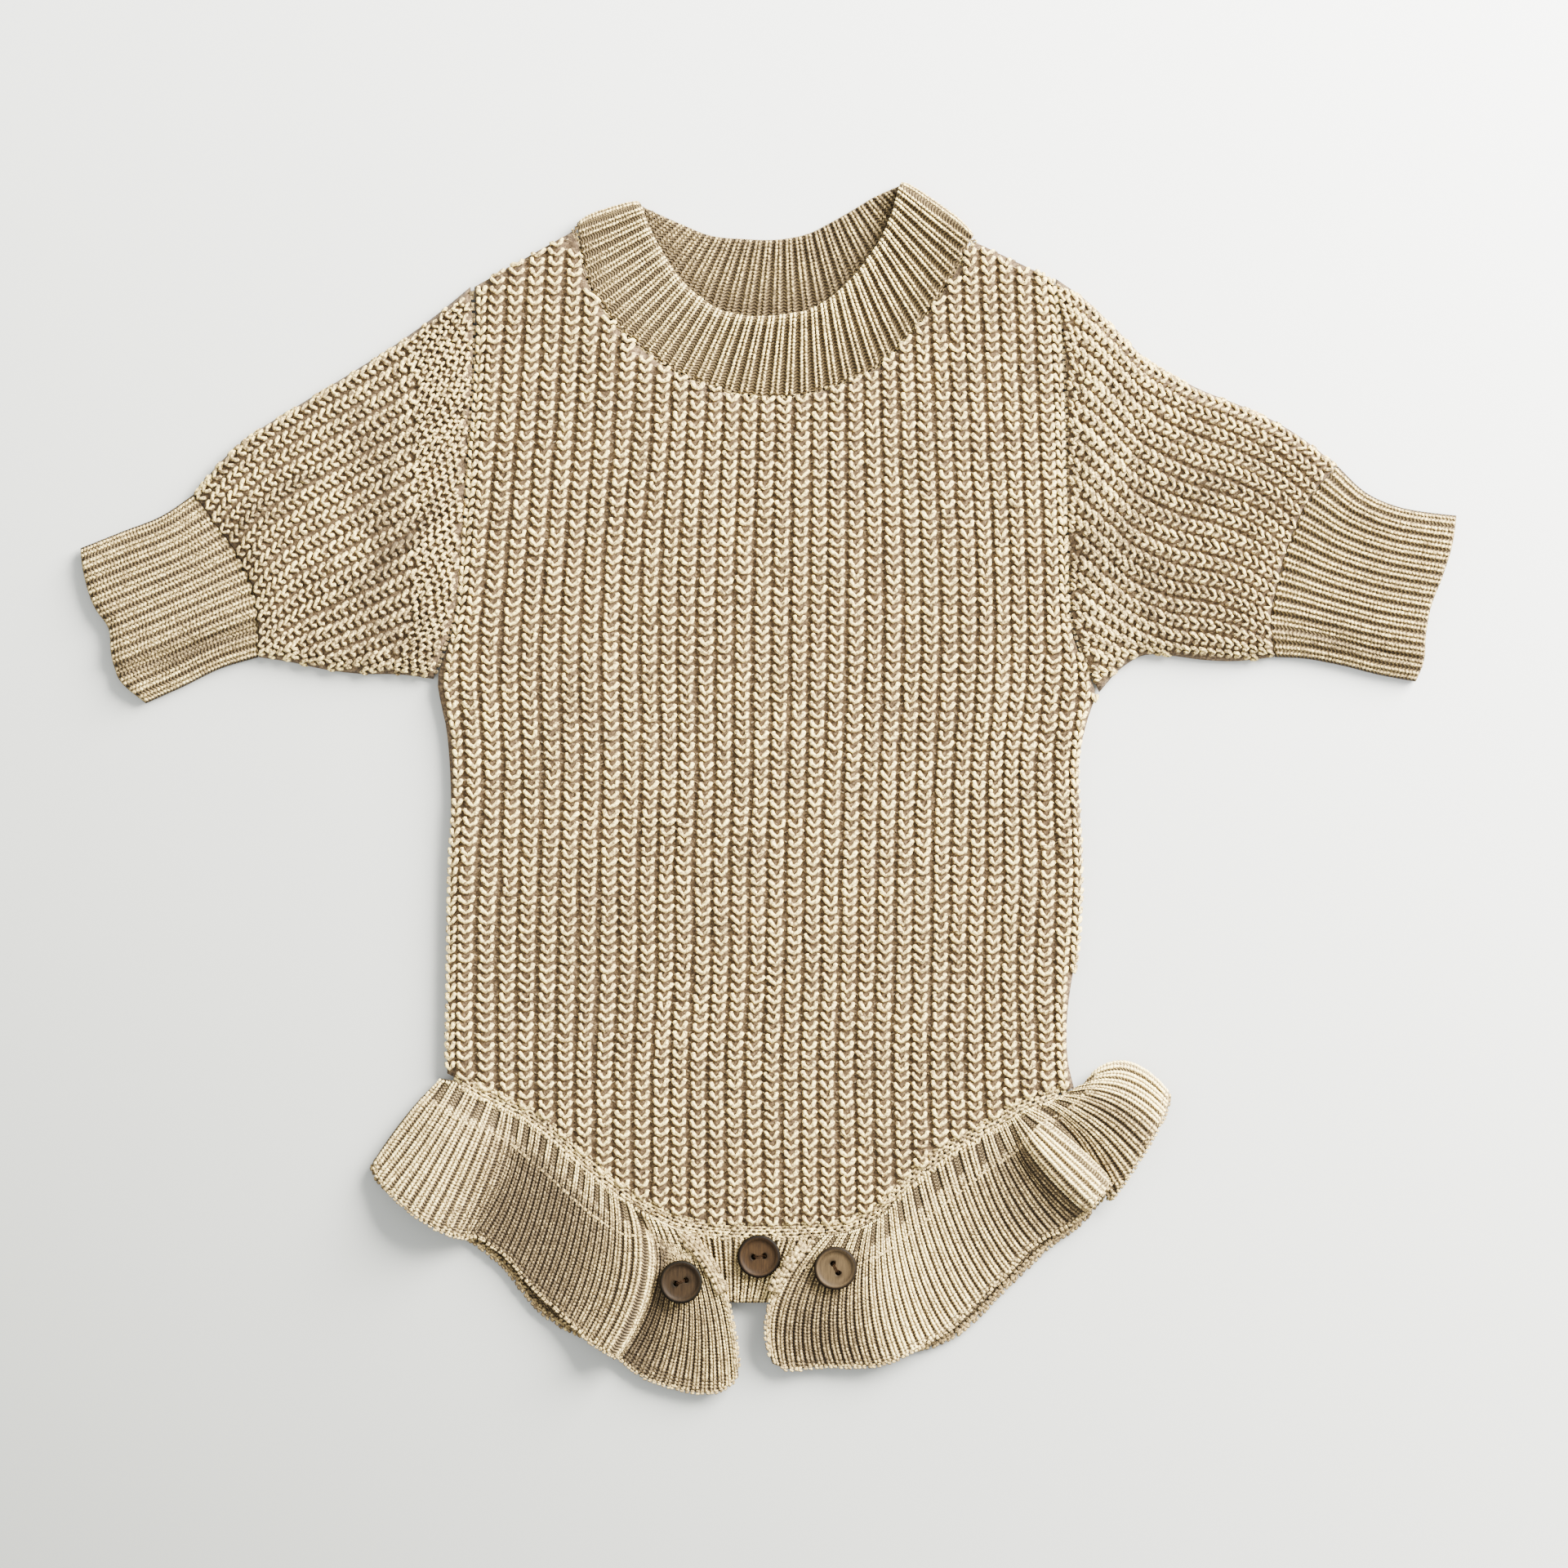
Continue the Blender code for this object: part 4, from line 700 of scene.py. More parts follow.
# Grounds of the fine rib: from painted shade in the grooves up to light crowns.
BAND = fine_knit("fine_rib_band", (0.0, "2C2214"), (0.3, "453825"), (0.6, "74613C"), (1.0, "C5AE78"))
RUFFLE = fine_knit("fine_rib_ruffle", (0.0, "2E2417"), (0.3, "4A3D27"), (0.6, "7F6B48"), (1.0, "D8C088"))
THREAD = yarn("sewing_thread", (0.0, "0A0603"), (1.0, "2A1C10"), gloss=0.02, roughness=0.95)
WOODS = {
    "button_left": turned_wood("oiled_wood_dark", "291E11", "1A1209", "0A0703"),
    "button_centre": turned_wood("oiled_wood_mid", "2F2111", "1E140A", "0A0603"),
    "button_right": turned_wood("oiled_wood_pale", "473925", "32281A", "120C06"),
}


# ---------------------------------------------------------------- stitches


def lifted(surface, a, b, lift, reach):
    """Points `lift` above a surface, and its unit normals from small steps both ways."""
    along_a = surface(a + reach[0], b) - surface(a - reach[0], b)
    along_b = surface(a, b + reach[1]) - surface(a, b - reach[1])
    normal = unit(np.cross(along_a, along_b))
    normal = normal * np.where(normal[..., 2:] < 0, -1.0, 1.0)
    return surface(a, b) + normal * lift, normal


# Places along a V stitch, outer end to point to outer end: ribs across, half stitches along, rise.
UPPER_V = ((-0.325, 0.86, -0.2), (-0.23, 0.02, 0), (0, -0.68, 0.1), (0.23, 0.02, 0), (0.325, 0.86, -0.2))
UNDER_V = ((-0.36, 0.9, 0), (0, -0.9, 0), (0.36, 0.9, 0))


def v_stitches(
    name, surface, number, row, half_row, reach, wide, under=False, tone_and_shade=0.0, unruly=1.0, squeeze=1.0
):
    """V stitches: each one length of yarn, down from an outer end to its point and up to the other.

    `number` counts ribs and `row` runs along them; `half_row` is half a stitch's length in rows.
    The outer ends sink into the grooves. `under` lays them flat on the underside, more simply, and
    `unruly` is how far they stray from their places and `squeeze` narrows them.
    """
    count = len(number)
    lean = rng.normal(0, 0.018, count) + 0.03 * np.sin(number * 2.4)
    stretch = (1 + rng.normal(0, 0.06, count)) * squeeze
    path, up = [], -UP
    for across, along_it, rise in UNDER_V if under else UPPER_V:
        wobble = rng.normal(0, 1, (2, count)) * unruly
        a = number + across * stretch + 0.02 * wobble[0] + lean * (along_it + 0.2)
        b = row + half_row * (along_it + 0.09 * wobble[1])
        point, normal = (surface(a, b), up) if under else lifted(surface, a, b, rise, reach)
        path.append(point)
        up = normal if across == 0 else up
    path = np.stack(path, axis=1)
    if under:
        return yarns(name, path, up, wide, 0.5, STITCH, 4, (0.8, 1, 0.8))
    wide = wide * (1 + rng.normal(0, 0.06, count))
    # Painted shade: each stitch is a little darker at its sunk ends and at its point than on its legs.
    return yarns(name, path, up, wide, 0.8, STITCH, 5, (1.15, 1.22, 0.95, 1.22, 1.15),
                 (0.85, 1.0, 0.9, 1.0, 0.85), tone_and_shade)


def rib_stitches(name, surface, lines, spacing, reach, places, detail):
    """Fine rib: two slanted beads of yarn for every stitch, leaning in to the middle of the rib.

    `lines` are the points up the middle of each rib and `spacing` is a stitch's length, where the
    first begins and how far the last stays from the end. `detail` takes the ribs' numbers and the
    places in their lines, and gives the stitches to keep, half their width and their tone_and_shade:
    their tone with any painted light and shade.
    """
    course, begin, margin = spacing
    ribs, rows, halves = [], [], []
    for k, line in enumerate(lines):
        run, index = lengths(line), np.arange(len(line))
        at = np.arange(begin + 0.25 * course * np.sin(k * 2.3), run[-1] - margin, course)
        ribs.append(np.full(len(at), k))
        rows.append(np.interp(at, run, index))
        halves.append(-0.5 * course * np.interp(at, run, np.gradient(index, run + 1e-9)))
    number, row, half_row = (np.concatenate(part) for part in (ribs, rows, halves))
    kept, wide, tone_and_shade = detail(number, row)
    number, row, half_row = number[kept] + 0.5, row[kept], half_row[kept]
    starts, ends, ups = [], [], []
    for sign in (-1.0, 1.0):
        jitter = rng.normal(0, 1, (3, len(number)))
        inner = number + sign * places[0] + 0.012 * jitter[1]
        outer = number + sign * places[1] + 0.012 * jitter[0]
        middle = row + half_row * 0.12 * jitter[2]
        start, normal = lifted(surface, outer, middle + 1.5 * half_row, 0.0, reach)
        starts.append(start)
        ends.append(surface(inner, middle - 1.5 * half_row))
        ups.append(normal)
    start, end, up = (np.concatenate(part) for part in (starts, ends, ups))
    wide, tone_and_shade = (np.tile(np.broadcast_to(value, len(number)), 2) for value in (wide, tone_and_shade))
    wide = wide * (1 + rng.normal(0, 0.08, len(start)))
    return strands(name, start, end, up, wide, wide * 0.9, 0.1, FINE, tone_and_shade)


def every(wide, tone_and_shade):
    """Details for `rib_stitches` that keep every stitch, all of one width and one tone_and_shade."""
    return lambda number, row: (number >= 0, wide, tone_and_shade)


def rib_lines(surface, count, places):
    """Points up the middle of each rib of a surface."""
    return [surface(np.full(places, k + 0.5), np.arange(float(places))) for k in range(count)]


def braid(name, path, pitch, offsets, half_width, thick, finish, tone_and_shade):
    """A seam: rows of small slanted stitches, two by two, beside a path at these offsets from it."""
    run = lengths(path)

    def on_path(distance):
        return np.stack([np.interp(distance, run, axis) for axis in path.T], axis=-1)

    starts, ends = [], []
    for row, offset in enumerate(offsets):
        at = np.arange(pitch * (1 + 0.5 * (row % 2)), run[-1] - pitch * 2, pitch)
        at = at + rng.normal(0, 0.12 * pitch, len(at))
        side = unit(np.cross(on_path(at + 0.5) - on_path(at - 0.5), UP))
        sunk = UP * abs(offset) * 0.15
        for sign in (-1, 1):
            jitter = rng.normal(0, 0.18, (2, len(at), 1))
            start = on_path(at) + side * (offset + sign * half_width + jitter[0])
            starts.append(start - UP * 0.25 * thick - sunk)
            end = on_path(at + pitch * 1.3) + side * (offset + sign * 0.15 * half_width + jitter[1])
            ends.append(end - sunk)
    start, end = np.concatenate(starts), np.concatenate(ends)
    return strands(name, start, end, UP, thick, thick * 0.9, 0.12, finish, tone_and_shade)


# ---------------------------------------------------------------- front and back


def side_x(side, y):
    """x of the body's left or right edge at y."""
    return smooth(*np.array(side).T, y)


HEM_LINE = moved_out(HEM, 0.0, 240)
HEM_OUT = unit(np.gradient(HEM_LINE, axis=0))[:, ::-1] * [1, -1]


def hem_point(x, out):
    """Point of the body's bottom edge at x, moved `out` away from the body."""
    at, away = (
        np.stack([np.interp(x, HEM_LINE[:, 0], axis) for axis in points.T], axis=-1)
        for points in (HEM_LINE, HEM_OUT)
    )
    return at + np.asarray(out)[..., None] * away


def top_line(neckline):
    """The panel's top edge: shoulder, neckline moved clear of the band, shoulder."""
    run = np.linspace(0, 1, 120)
    gap = SEAM_GAP + sum(
        (corner - SEAM_GAP) * (1 - ease(from_corner / NECK_CORNER_SHARE))
        for corner, from_corner in zip(NECK_CORNER_GAPS, (run, 1 - run))
    )
    return np.concatenate([SHOULDER_LEFT, moved_out(neckline, gap), SHOULDER_RIGHT])


FRONT_TOP = top_line(NECK_FRONT)
BACK_TOP = top_line(NECK_BACK)


def groove_lines(y):
    """x of each listed groove at y."""
    heights, *lines = np.array(GROOVE_RUN).T
    return [smooth(heights, line, y) for line in lines]


def groove_x(number, y):
    """x of groove `number` at y: the ribs between two listed grooves share the width evenly."""
    number, y = np.broadcast_arrays(np.asarray(number, float), np.asarray(y, float))
    lines = groove_lines(y)
    for k, (low, high) in enumerate(zip(GROOVE_NUMBERS, GROOVE_NUMBERS[1:])):
        between = lines[k] + (lines[k + 1] - lines[k]) * (number - low) / (high - low)
        x = np.where(number >= low, between, x) if k else between
    return x


def groove_number(x, y):
    """The inverse: how many ribs lie between groove 0 and x."""
    lines = groove_lines(y)
    number = GROOVE_NUMBERS[0]
    for k, (low, high) in enumerate(zip(GROOVE_NUMBERS, GROOVE_NUMBERS[1:])):
        share = (x - lines[k]) / (lines[k + 1] - lines[k])
        share = np.clip(share, 0 if k else -np.inf, 1 if k < len(lines) - 2 else np.inf)
        number = number + share * (high - low)
    return number


def beside_neck(x):
    """Whether x lies beyond the neckline, on a shoulder."""
    return (x < NECK_FRONT[0][0]) | (x > NECK_FRONT[-1][0])


def thinness(x, y):
    """Share of the full thickness: less along the sides, armholes, shoulders, hem and neckline."""
    from_side = np.minimum(x - side_x(LEFT_SIDE, y), side_x(RIGHT_SIDE, y) - x)
    from_hem, from_top = y - read_line(HEM_LINE, x), read_line(FRONT_TOP, x) - y
    shoulder, below_arm = beside_neck(x), ease((UNDERARM_Y - y) / 10)
    thick = 1 - 0.6 * below_arm * (1 - rounded(from_side, SIDE_ROUND))
    thick *= 1 - 0.25 * (1 - below_arm) * (1 - ease(from_side / 4))
    thick *= 1 - 0.5 * shoulder * (1 - rounded(from_top, SHOULDER_ROUND))
    thick *= 1 - 0.15 * (1 - ease(from_hem / 5))
    return thick * (1 - 0.15 * ~shoulder * (1 - ease(from_top / 5)))


def front_height(x, y, wall):
    """Top of the front at x, y: its wall, thinner at the edges, and its soft folds."""
    return FRONT_FLOOR + wall * thinness(x, y) + 0.28 * sway(x * 0.6, y * 0.6) + creases(x, y, BODY_FOLDS)


def panel_plan(columns, rows, top, inset):
    """x, y of a panel's points: even columns from side to side and even rows from hem to top edge."""
    shares = np.linspace(0, 1, columns)

    def across(y):
        left, right = side_x(LEFT_SIDE, y) + inset, side_x(RIGHT_SIDE, y) - inset
        return left + (right - left) * shares.reshape((-1,) + (1,) * (np.ndim(y) - 1))

    low = hem_point(across(np.full(columns, -150.0)), -inset)[:, 1]
    high = np.full(columns, 190.0)
    for _ in range(12):
        high = read_line(top, across(high)) - inset
    y = low[:, None] + (high - low)[:, None] * np.linspace(0, 1, rows)
    return np.dstack([across(y), y])


def drawn_in(distance):
    """Distance from an edge, with the last 5 mm and 3 mm beyond it drawn in to end at the edge."""
    return np.where(distance < 5, np.maximum(0.3 + (distance + 3) * 0.5875, 0.1), distance)


def on_front(number, y):
    """The stitches' own surface on the front: rib number and height up the body to a point."""
    left, right = side_x(LEFT_SIDE, y), side_x(RIGHT_SIDE, y)
    x = left + drawn_in(groove_x(number, y) - left)
    x = right - drawn_in(right - x)
    limit = read_line(FRONT_TOP, x) + np.where(beside_neck(x), -0.7, 0.3)
    y = np.where(y > limit, limit + 0.08 * (y - limit), y)
    y = np.maximum(y, read_line(HEM_LINE, x) + 0.3)
    return np.stack([x, y, front_height(x, y, YARN_LIFT)], axis=-1)


def under_back(number, y):
    """The stitches' own surface under the back: flat, just above what the romper lies on."""
    x = np.clip(groove_x(number, y), side_x(LEFT_SIDE, y) + 1.2, side_x(RIGHT_SIDE, y) - 1.2)
    y = np.minimum(y, read_line(BACK_TOP, x) - 1.2)
    y = np.maximum(y, read_line(HEM_LINE, x) + 0.8)
    return np.stack([x, y, np.full(x.shape, 0.62)], axis=-1)


def panel_stitches(top):
    """Rib number and height of every stitch whose middle lies inside the panel."""
    number, course = np.meshgrid(np.arange(36) + 0.5, np.arange(-52, 62), indexing="ij")
    y = course * COURSE
    x = groove_x(number, y)
    y = y + 0.9 * sway(x, y * 0.5) + 0.35 * np.sin(number * 1.7)
    kept = (x > side_x(LEFT_SIDE, y) - 3) & (x < side_x(RIGHT_SIDE, y) + 3)
    kept &= y > read_line(HEM_LINE, x) + 2.6
    kept &= y < read_line(top, x) + np.where(beside_neck(x), 0.3, 0.6)
    for way in (-1.6, 1.6):
        kept &= y < read_line(top, x + way) + 2.6
    return number[kept], y[kept]


def build_front():
    """Front: ribbed ground, V stitches along every rib and floats of yarn across the grooves."""
    plan = panel_plan(150, 64, FRONT_TOP, 0.7)
    x, y = plan[..., 0], plan[..., 1]
    rib = np.abs(np.sin(np.pi * groove_number(x, y))) ** 0.8
    outer = raised(plan, front_height(x, y, GROUND_WALL + GROUND_RISE * rib))
    # Painted shade on the ground: darker under the ribs' crowns, where it shows through the stitches'
    # notches, than in the grooves.
    paint = {"shade": (0.5 - 0.15 * rib, 0), "tone_and_shade": (0, 0)}
    inner = raised(plan, FRONT_FLOOR)
    ground = cloth("front_ground", outer, inner, False, paint, GROUND_PAINTED_SHADE, "front_body")
    number, y = panel_stitches(FRONT_TOP)
    stitches = v_stitches("front_stitches", on_front, number, y, 0.5 * COURSE, (0.1, 0.7), 0.7)
    groove, y = number + 0.5, y + COURSE * 0.3
    kept = groove_x(groove, y) < side_x(RIGHT_SIDE, y) - 2
    groove, y = groove[kept], y[kept]
    tilt = rng.choice([-0.55, 0.55], len(y))
    start, end = (on_front(groove + 0.17 * way, y - tilt * way) - 1.1 * UP for way in (-1, 1))
    floats = strands("front_floats", start, end, UP, 0.45, 0.4, 0.0, FLOATS_PAINTED_SHADE, sides=3)


def build_back():
    """Back: plain inside, and the same stitches laid flat on its underside."""
    plan = panel_plan(70, 60, BACK_TOP, 0.8)
    under, inner = raised(plan, 0.75), raised(plan, BACK_WALL)
    # Painted shade: darkest on the underside.
    paint = {"shade": (0.1, 0.35), "tone_and_shade": (0, 0)}
    ground = cloth("back_ground", under, inner, False, paint, GROUND_PAINTED_SHADE, "back_body")
    number, y = panel_stitches(BACK_TOP)
    stitches = v_stitches("back_stitches", under_back, number, y, 0.5 * COURSE, (0.1, 0.7), 1.0, True)


# ---------------------------------------------------------------- sleeves and cuffs


def sleeve_edges(body_edge, gap, underarm_y, wrist, upper, lower):
    """The four edges of a sleeve: the body's own edge moved clear of it, wrist, upper and lower fold."""
    y = np.linspace(upper[0][1], underarm_y, 24)
    start = np.stack([side_x(body_edge, y) + gap, y], axis=1)
    return start, wrist, np.concatenate([start[:1], upper[1:]]), np.concatenate([start[-1:], lower[1:]])


def patch(start, finish, upper, lower, u, p):
    """Points inside four edges: u runs from `start` to `finish`, p from `upper` to `lower`.

    The sheet between the two ends plus the sheet between the two sides, less the corners' sheet.
    """
    first, last = along(start, p), along(finish, p)
    above, below = along(upper, u), along(lower, u)
    u, p = u[..., None], p[..., None]
    near, far = ((1 - p) * np.array(end[0]) + p * np.array(end[-1]) for end in (start, finish))
    return (1 - u) * (first - near) + u * (last - far) + (1 - p) * above + p * below


def tube_width(edges):
    """Distance across a flat tube, as a function of the share of the way along it."""
    stations = np.linspace(0, 1, 80)
    across = patch(*edges, stations, np.ones(80)) - patch(*edges, stations, np.zeros(80))
    width = np.linalg.norm(across, axis=1)
    return lambda u: np.interp(u, stations, width)


def tube_top(u, p, width, wall, puff, folds):
    """Height of a flat tube's upper skin: a low swell, its folds, and quarter rounds at both edges."""
    swell = puff * np.sin(np.pi * np.clip(p, 0, 1)) * ease(u / 0.15) * ease((1 - u) / 0.1)
    height = FRONT_FLOOR + swell + wall + creases(p, u, folds, width)
    return 2.0 + (height - 2.0) * rounded(np.minimum(p, 1 - p) * width, SIDE_ROUND)


def tube_cloth(name, edges, top, under, number, rib, share, u, finish, node, run):
    """A tube pressed flat: an upper and an under skin, hollow between, open at both ends."""
    width = tube_width(edges)(u)
    foot, margin = 1.2 / width, 2.4 / width
    inside = margin + (1 - 2 * margin) * share
    ceiling = np.maximum(top - FINE_WALL, BACK_WALL + 0.2)
    ceiling[[0, -1]] = 2.75
    ceiling = np.minimum(ceiling, np.maximum(top - 1.0, 2.75))

    def skins(*pairs):
        return np.concatenate([raised(patch(*edges, u, p), z) for p, z in pairs])

    outer = skins((share, top), (foot + (1 - 2 * foot) * share[::-1], under))
    inner = skins((inside, ceiling), (inside[::-1], np.minimum(ceiling[::-1] - 0.1, BACK_WALL)))
    number, rib = (np.concatenate([part, part[::-1]]) for part in (number, rib))
    rows = weave(number, np.concatenate([run, run]), rib)
    # On the upper skin "shade" is painted shade: darker on the ribs' crowns, under the stitches, than in the
    # grooves.
    paint = {"weave": (rows, rows * [1, 1, 0.5]), "shade": (0.5 - 0.15 * rib, rib * 0.3), "tone_and_shade": (0, 0)}
    return cloth(name, outer, inner, True, paint, finish, node)


def sleeve_pitch(u):
    """Width of a sleeve's ribs: they keep it from fold to fold, so the lowest ones run out."""
    return SHOULDER_PITCH + (WRIST_PITCH - SHOULDER_PITCH) * u


def build_sleeve(side, edges, folds, painted_shades, unruly, crowded, cut, area):
    """Sleeve: ribbed ground tube, V stitches along its upper ribs and flat ones underneath.

    Up to the share `crowded` of its length the stitches stand twice as close, and `unruly`.
    """
    width_at = tube_width(edges)
    share = np.linspace(0, 1, 90)[:, None] * np.ones(32)
    u = np.broadcast_to(np.linspace(0, 1, 32), share.shape)
    width = width_at(u)
    number = share * width / sleeve_pitch(u)
    rib = np.abs(np.sin(np.pi * number)) ** 0.8 * ease(np.minimum(share, 1 - share) * width / 6)
    top = tube_top(u, share, width, GROUND_WALL + SLEEVE_GROUND_RISE * rib, SLEEVE_PUFF, folds)
    name = f"sleeve_{side}"
    ground = tube_cloth(name + "_ground", edges, top, 0.7, number, rib, share, u, GROUND_PAINTED_SHADE, name, u * 100)

    def surface(a, b):
        b = np.clip(b, 0, 1)
        width = width_at(b)
        p = np.clip(1 - drawn_in(width - a * sleeve_pitch(b)) / width, 0.006, 0.998)
        return raised(patch(*edges, b, p), tube_top(b, p, width, YARN_LIFT, SLEEVE_PUFF, folds))

    def beneath(a, b):
        return surface(a, b) * [1, 1, 0] + 0.6 * UP

    stitches = []
    dense = np.linspace(0, 1, 300)
    for k in np.arange(-0.5, SLEEVE_RIBS, 0.5):
        run = lengths(surface(np.full(300, k + 0.5), dense)[:, :2])
        at = run[-1] - 1.4 - np.arange(60) * SLEEVE_COURSE - 0.5 * np.sin(k * 1.9)
        at = at[at > 1.2]
        here = np.interp(at, run, dense)
        half = -1.6 * np.interp(at, run, np.gradient(dense, run + np.arange(300) * 1e-9))
        crowd = 1 - ease((here - crowded) / 0.05)
        kept = (k + 0.5) * sleeve_pitch(here) < width_at(here) + 3
        kept &= (k % 1 == 0) | (k < 0) | (crowd > 0.6)
        found = np.stack([np.full(len(at), k + 0.5), here, half * (1 - 0.15 * crowd), crowd])
        stitches.append(found[:, kept])
    number, row, half, crowd = np.concatenate(stitches, axis=1)
    wide = 0.122 * sleeve_pitch(row) * (1 - 0.35 * crowd)
    # Painted light and shade along the sleeve's folds, carried by the stitches' tone_and_shade.
    tone_and_shade = creases(number * sleeve_pitch(row) / width_at(row), row, painted_shades)
    upper = v_stitches(name + "_stitches", surface, number, row, half, (0.1, 0.01), wide, False, tone_and_shade,
                       1 + unruly * crowd, 1 - 0.45 * crowd)
    under = v_stitches(name + "_under_stitches", beneath, number, row, half, (0.1, 0.01), wide, True)


def rib_profile(columns_per_rib, count, shape):
    """Rib numbers across `count` ribs and each point's share of the height, by one rib's shape."""
    number = np.linspace(0, count, count * columns_per_rib + 1)
    return number, read_line(shape, number % 1.0)


def build_cuff(side, edges, folds, painted_shades, cut, area):
    """Cuff: fourteen fine ribs above and below, open at the wrist, with its stitches on top."""
    width_at = tube_width(edges)
    number, height = rib_profile(RIB_COLUMNS, CUFF_RIBS, TWIN_RIB)
    u = np.broadcast_to(np.linspace(0.005, 1, 26), (len(number), 26))
    width = width_at(u)
    share = np.broadcast_to((number / CUFF_RIBS)[:, None], u.shape)

    def end_round(u):
        return 1 - rounded((1 - u) * CUFF_LENGTH, 2.2)

    rib = height[:, None] * ease((np.minimum(share, 1 - share) * width + 1.2) / 4)
    wall = (FINE_WALL - 0.1 + 0.6 * rib) * (1 - 0.35 * end_round(u))
    top = tube_top(u, share, width, wall, CUFF_PUFF, folds)
    under = 0.75 - 0.65 * rib[::-1]
    name, number = f"cuff_{side}", share * CUFF_RIBS
    ground = tube_cloth(name + "_knit", edges, top, under, number, rib, share, u, BAND, name, u * 44)

    def surface(a, b):
        b, p = np.clip(b / (CUFF_PLACES - 1), 0, 1), np.clip(a / CUFF_RIBS, 0.012, 0.988)
        wall = FINE_WALL + 0.65 - 0.5 * end_round(b)
        return raised(patch(*edges, b, p), tube_top(b, p, width_at(b), wall, CUFF_PUFF, folds))

    # The stitches carry painted shade in the cuff's creases.
    def detail(rib, row):
        return rib >= 0, 0.6, creases(rib / CUFF_RIBS, row / (CUFF_PLACES - 1), painted_shades)

    stitches = rib_stitches(
        name + "_stitches", surface, rib_lines(surface, CUFF_RIBS, CUFF_PLACES), (1.3, 0.4, 0.3), (0.05, 1.0),
        (0.11, 0.27), detail,
    )


# ---------------------------------------------------------------- neckband


def band_between(seam, free, share, across):
    """Points across the band: straight from the seam to the free edge, at shares of both."""
    start = along(seam, share)
    return start + (along(free, share) - start) * across[..., None]


def band_edge(across):
    """Share of the band's thickness: full, less at the seam and rounded at the free edge."""
    return rounded(across * 32, 3.0) * 0.1 + 0.9 - 0.25 * (1 - rounded((1 - across) * 31, 1.8))


def band_roll(across):
    """The free edge's own small roll, 1 along its middle."""
    return bell(across - 0.94, 0.05)


def corner_lift(share):
    """How far the band's front is raised towards both turned corners."""
    return CORNER_RISE * (1 - ease(np.minimum(share, 1 - share) / 0.12))


def band_front(share, across, wall):
    """Top of the band's front: over the body's front, raised at both turned corners."""
    plan = band_between(NECK_FRONT, COLLAR_FRONT, share, across)
    uneven = 0.25 * sway(plan[..., 0], plan[..., 1])
    stand = 1.3 * ease((across - 0.35) / 0.6) + 0.5 * band_roll(across)
    return raised(plan, FRONT_FLOOR + corner_lift(share) + stand + wall * band_edge(across) + uneven)


